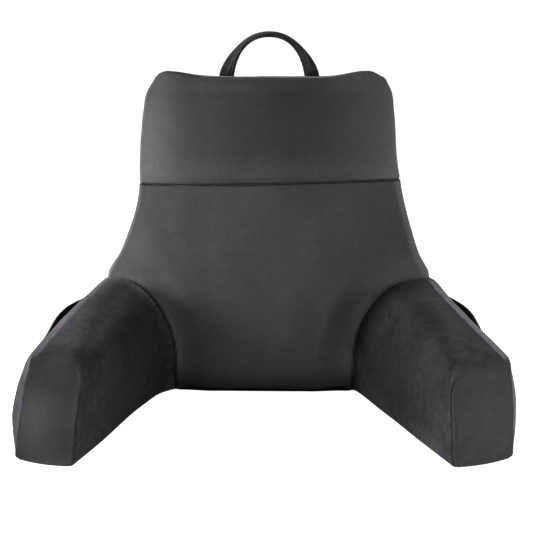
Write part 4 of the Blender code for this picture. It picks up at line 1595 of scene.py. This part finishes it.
def make_tape(side):
    first, last = POCKET_ENDS[side]
    edge = arm_corners(side, (first + last) / 2)[2]
    per_metre = 1 / ((POCKET_FLOOR - POCKET_MOUTH) * edge[2])
    starts = 1 + CLEAR * 1.3 * per_metre
    ups = starts + BINDING_TALL * per_metre * np.linspace(0, 1, 7)
    alongs = np.linspace(0, 1, 91)

    def grid(thick):
        return [[pocket_point(side, along, up, thick) for along in alongs] for up in ups]

    piece = sheet_between("pocket_tape_" + side, grid(0.0), grid(BINDING_THICK))
    paint(piece, "along", np.tile(alongs * POCKET_FLAT[side][0], 2 * len(ups)))
    return piece


pockets = {side: make_pocket(side) for side in SIDES}
tapes = {side: make_tape(side) for side in SIDES}
for side, piece in pockets.items():
    paint_nap_and_light(piece, np.zeros(len(piece.data.vertices)), np.ones(len(piece.data.vertices)))
print("pockets and tapes:", [piece.name for piece in (*pockets.values(), *tapes.values())])

# %% [markdown]
# ## Stitches
# A row of stitches repeats one short thread along a line, which is a job for Geometry Nodes. The
# line becomes a curve, the tree spaces points along it, puts a small rounded thread on each one,
# turns it to the line, and turns the result into a plain mesh.

# %% Build the stitch tree
def stitch_tree():
    tree = bpy.data.node_groups.new("row of stitches", "GeometryNodeTree")
    face = tree.interface
    face.new_socket("Geometry", in_out="INPUT", socket_type="NodeSocketGeometry")
    for label, value in (("Pitch", 0.0036), ("Length", 0.0026), ("Thickness", 0.0006)):
        face.new_socket(label, in_out="INPUT", socket_type="NodeSocketFloat").default_value = value
    face.new_socket("Thread", in_out="INPUT", socket_type="NodeSocketMaterial")
    face.new_socket("Geometry", in_out="OUTPUT", socket_type="NodeSocketGeometry")

    def add(kind, settings=None, sockets=None):
        return add_node(tree, kind, settings, sockets)

    start = add("NodeGroupInput").outputs
    spaced = add("GeometryNodeResampleCurve", {"mode": "LENGTH"},
                 {"Curve": start["Geometry"], "Length": start["Pitch"]})
    one = add("GeometryNodeMeshUVSphere", None, {"Segments": 8, "Rings": 6, "Radius": 0.5})
    size = add("ShaderNodeCombineXYZ", None,
               {0: start["Thickness"], 1: start["Thickness"], 2: start["Length"]})
    shaped = add("GeometryNodeTransform", None,
                 {"Geometry": one.outputs["Mesh"], "Scale": size.outputs[0]})
    way = add("GeometryNodeInputTangent")
    turned = add("FunctionNodeAlignRotationToVector", {"axis": "Z"}, {"Vector": way.outputs[0]})
    laid = {"Points": spaced.outputs[0], "Instance": shaped.outputs[0], "Rotation": turned.outputs[0]}
    placed = add("GeometryNodeInstanceOnPoints", None, laid)
    real = add("GeometryNodeRealizeInstances", None, {0: placed.outputs[0]})
    dyed = add("GeometryNodeSetMaterial", None,
               {"Geometry": real.outputs[0], "Material": start["Thread"]})
    add("NodeGroupOutput", None, {0: dyed.outputs[0]})
    return tree


stitches_of = stitch_tree()
print("stitch tree:", len(stitches_of.nodes), "nodes")

# %% Sew the rows
def sew_rows(name, paths, pitch, length, thickness):
    """One mesh of stitches along several lines."""
    curve = bpy.data.curves.new(name + "_line", "CURVE")
    curve.dimensions = "3D"
    for path in paths:
        spline = curve.splines.new("POLY")
        spline.points.add(len(path) - 1)
        for point, p in zip(spline.points, path):
            point.co = (*p, 1.0)
    guide = bpy.data.objects.new(name + "_line", curve)
    bpy.context.scene.collection.objects.link(guide)
    modifier = guide.modifiers.new("stitches", "NODES")
    modifier.node_group = stitches_of
    values = {"Pitch": pitch, "Length": length, "Thickness": thickness, "Thread": thread}
    for item in stitches_of.interface.items_tree:
        if item.in_out == "INPUT" and item.name in values:
            modifier[item.identifier] = values[item.name]
    shaped = guide.evaluated_get(bpy.context.evaluated_depsgraph_get())
    data = bpy.data.meshes.new_from_object(shaped)
    guide.modifiers.clear()
    bpy.data.objects.remove(guide)
    piece = bpy.data.objects.new(name, data)
    data.name = name
    data.shade_smooth()
    bpy.context.scene.collection.objects.link(piece)
    return piece


STITCH_INSET = 0.004  # from the edge of a pocket to its stitches
strap_stitches = sew_rows("strap_stitches", strap_paths, 0.0036, 0.0027, 0.0006)
pocket_stitches = {}
for side in SIDES:
    inset, rise = (STITCH_INSET / length for length in POCKET_FLAT[side])
    off = POCKET_THICK + 0.0001
    ends = [[pocket_point(side, along, up, off) for up in np.linspace(0.02, 0.985, 60)]
            for along in (inset, 1 - inset)]
    foot = [pocket_point(side, along, rise, off) for along in np.linspace(inset, 1 - inset, 90)]
    pocket_stitches[side] = sew_rows("pocket_stitches_" + side, [*ends, foot], 0.0034, 0.0025, 0.0006)
    print("stitches on the", side, "pocket:", len(pocket_stitches[side].data.vertices), "points")

# %% [markdown]
# ## Dressing the frame
# Every piece rides on the pillow's one body and gets its material, and the solid that it stands
# for is hidden.

# %% Ride and replace
def dress(piece, finish, slot, *nodes):
    piece.data.materials.clear()
    piece.data.materials.append(finish)
    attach(piece, "root")
    if nodes:
        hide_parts(*nodes)


dress(back_cover, body_velour, "velour", "back_section")
dress(head_cover, body_velour, "velour", "head_section")
for side in SIDES:
    dress(arm_covers[side], arm_velour, "velour_arm", "arm_" + side)
dress(strap, strap_velour, "strap", "carry_handle")
dress(strap_stitches, thread, "strap")
for side in SIDES:
    dress(pockets[side], pocket_velour, "pocket_cloth", "pocket_" + side)
    dress(tapes[side], tape_cloth, "dark_tape", "pocket_binding_" + side)
    dress(pocket_stitches[side], thread, "pocket_cloth")

# %% [markdown]
# ## The floor
# The pillow stands on the same white paper that hangs behind it. A wide plane, bright enough to
# melt into the white surroundings, takes the soft dark line where the pillow touches it.

# %% Lay the paper
def lay_paper():
    mesh = bmesh.new()
    bmesh.ops.create_grid(mesh, x_segments=1, y_segments=1, size=45.0)
    paper = add_object("paper", mesh)
    finish = Finish("white paper")
    grain = finish.noise(finish.place(), 40.0, 2.0, 0.5)
    sockets = {
        "Base Color": finish.blend(grain, (0.48, 0.48, 0.48), (0.52, 0.52, 0.52)),
        "Roughness": 0.9,
        "Specular IOR Level": 0.0,
        "Emission Color": (1.0, 1.0, 1.0, 1.0),
        "Emission Strength": 1.0,
    }
    paper.data.materials.append(finish.cloth(sockets))
    return paper


paper = lay_paper()
print("paper:", tuple(paper.dimensions))
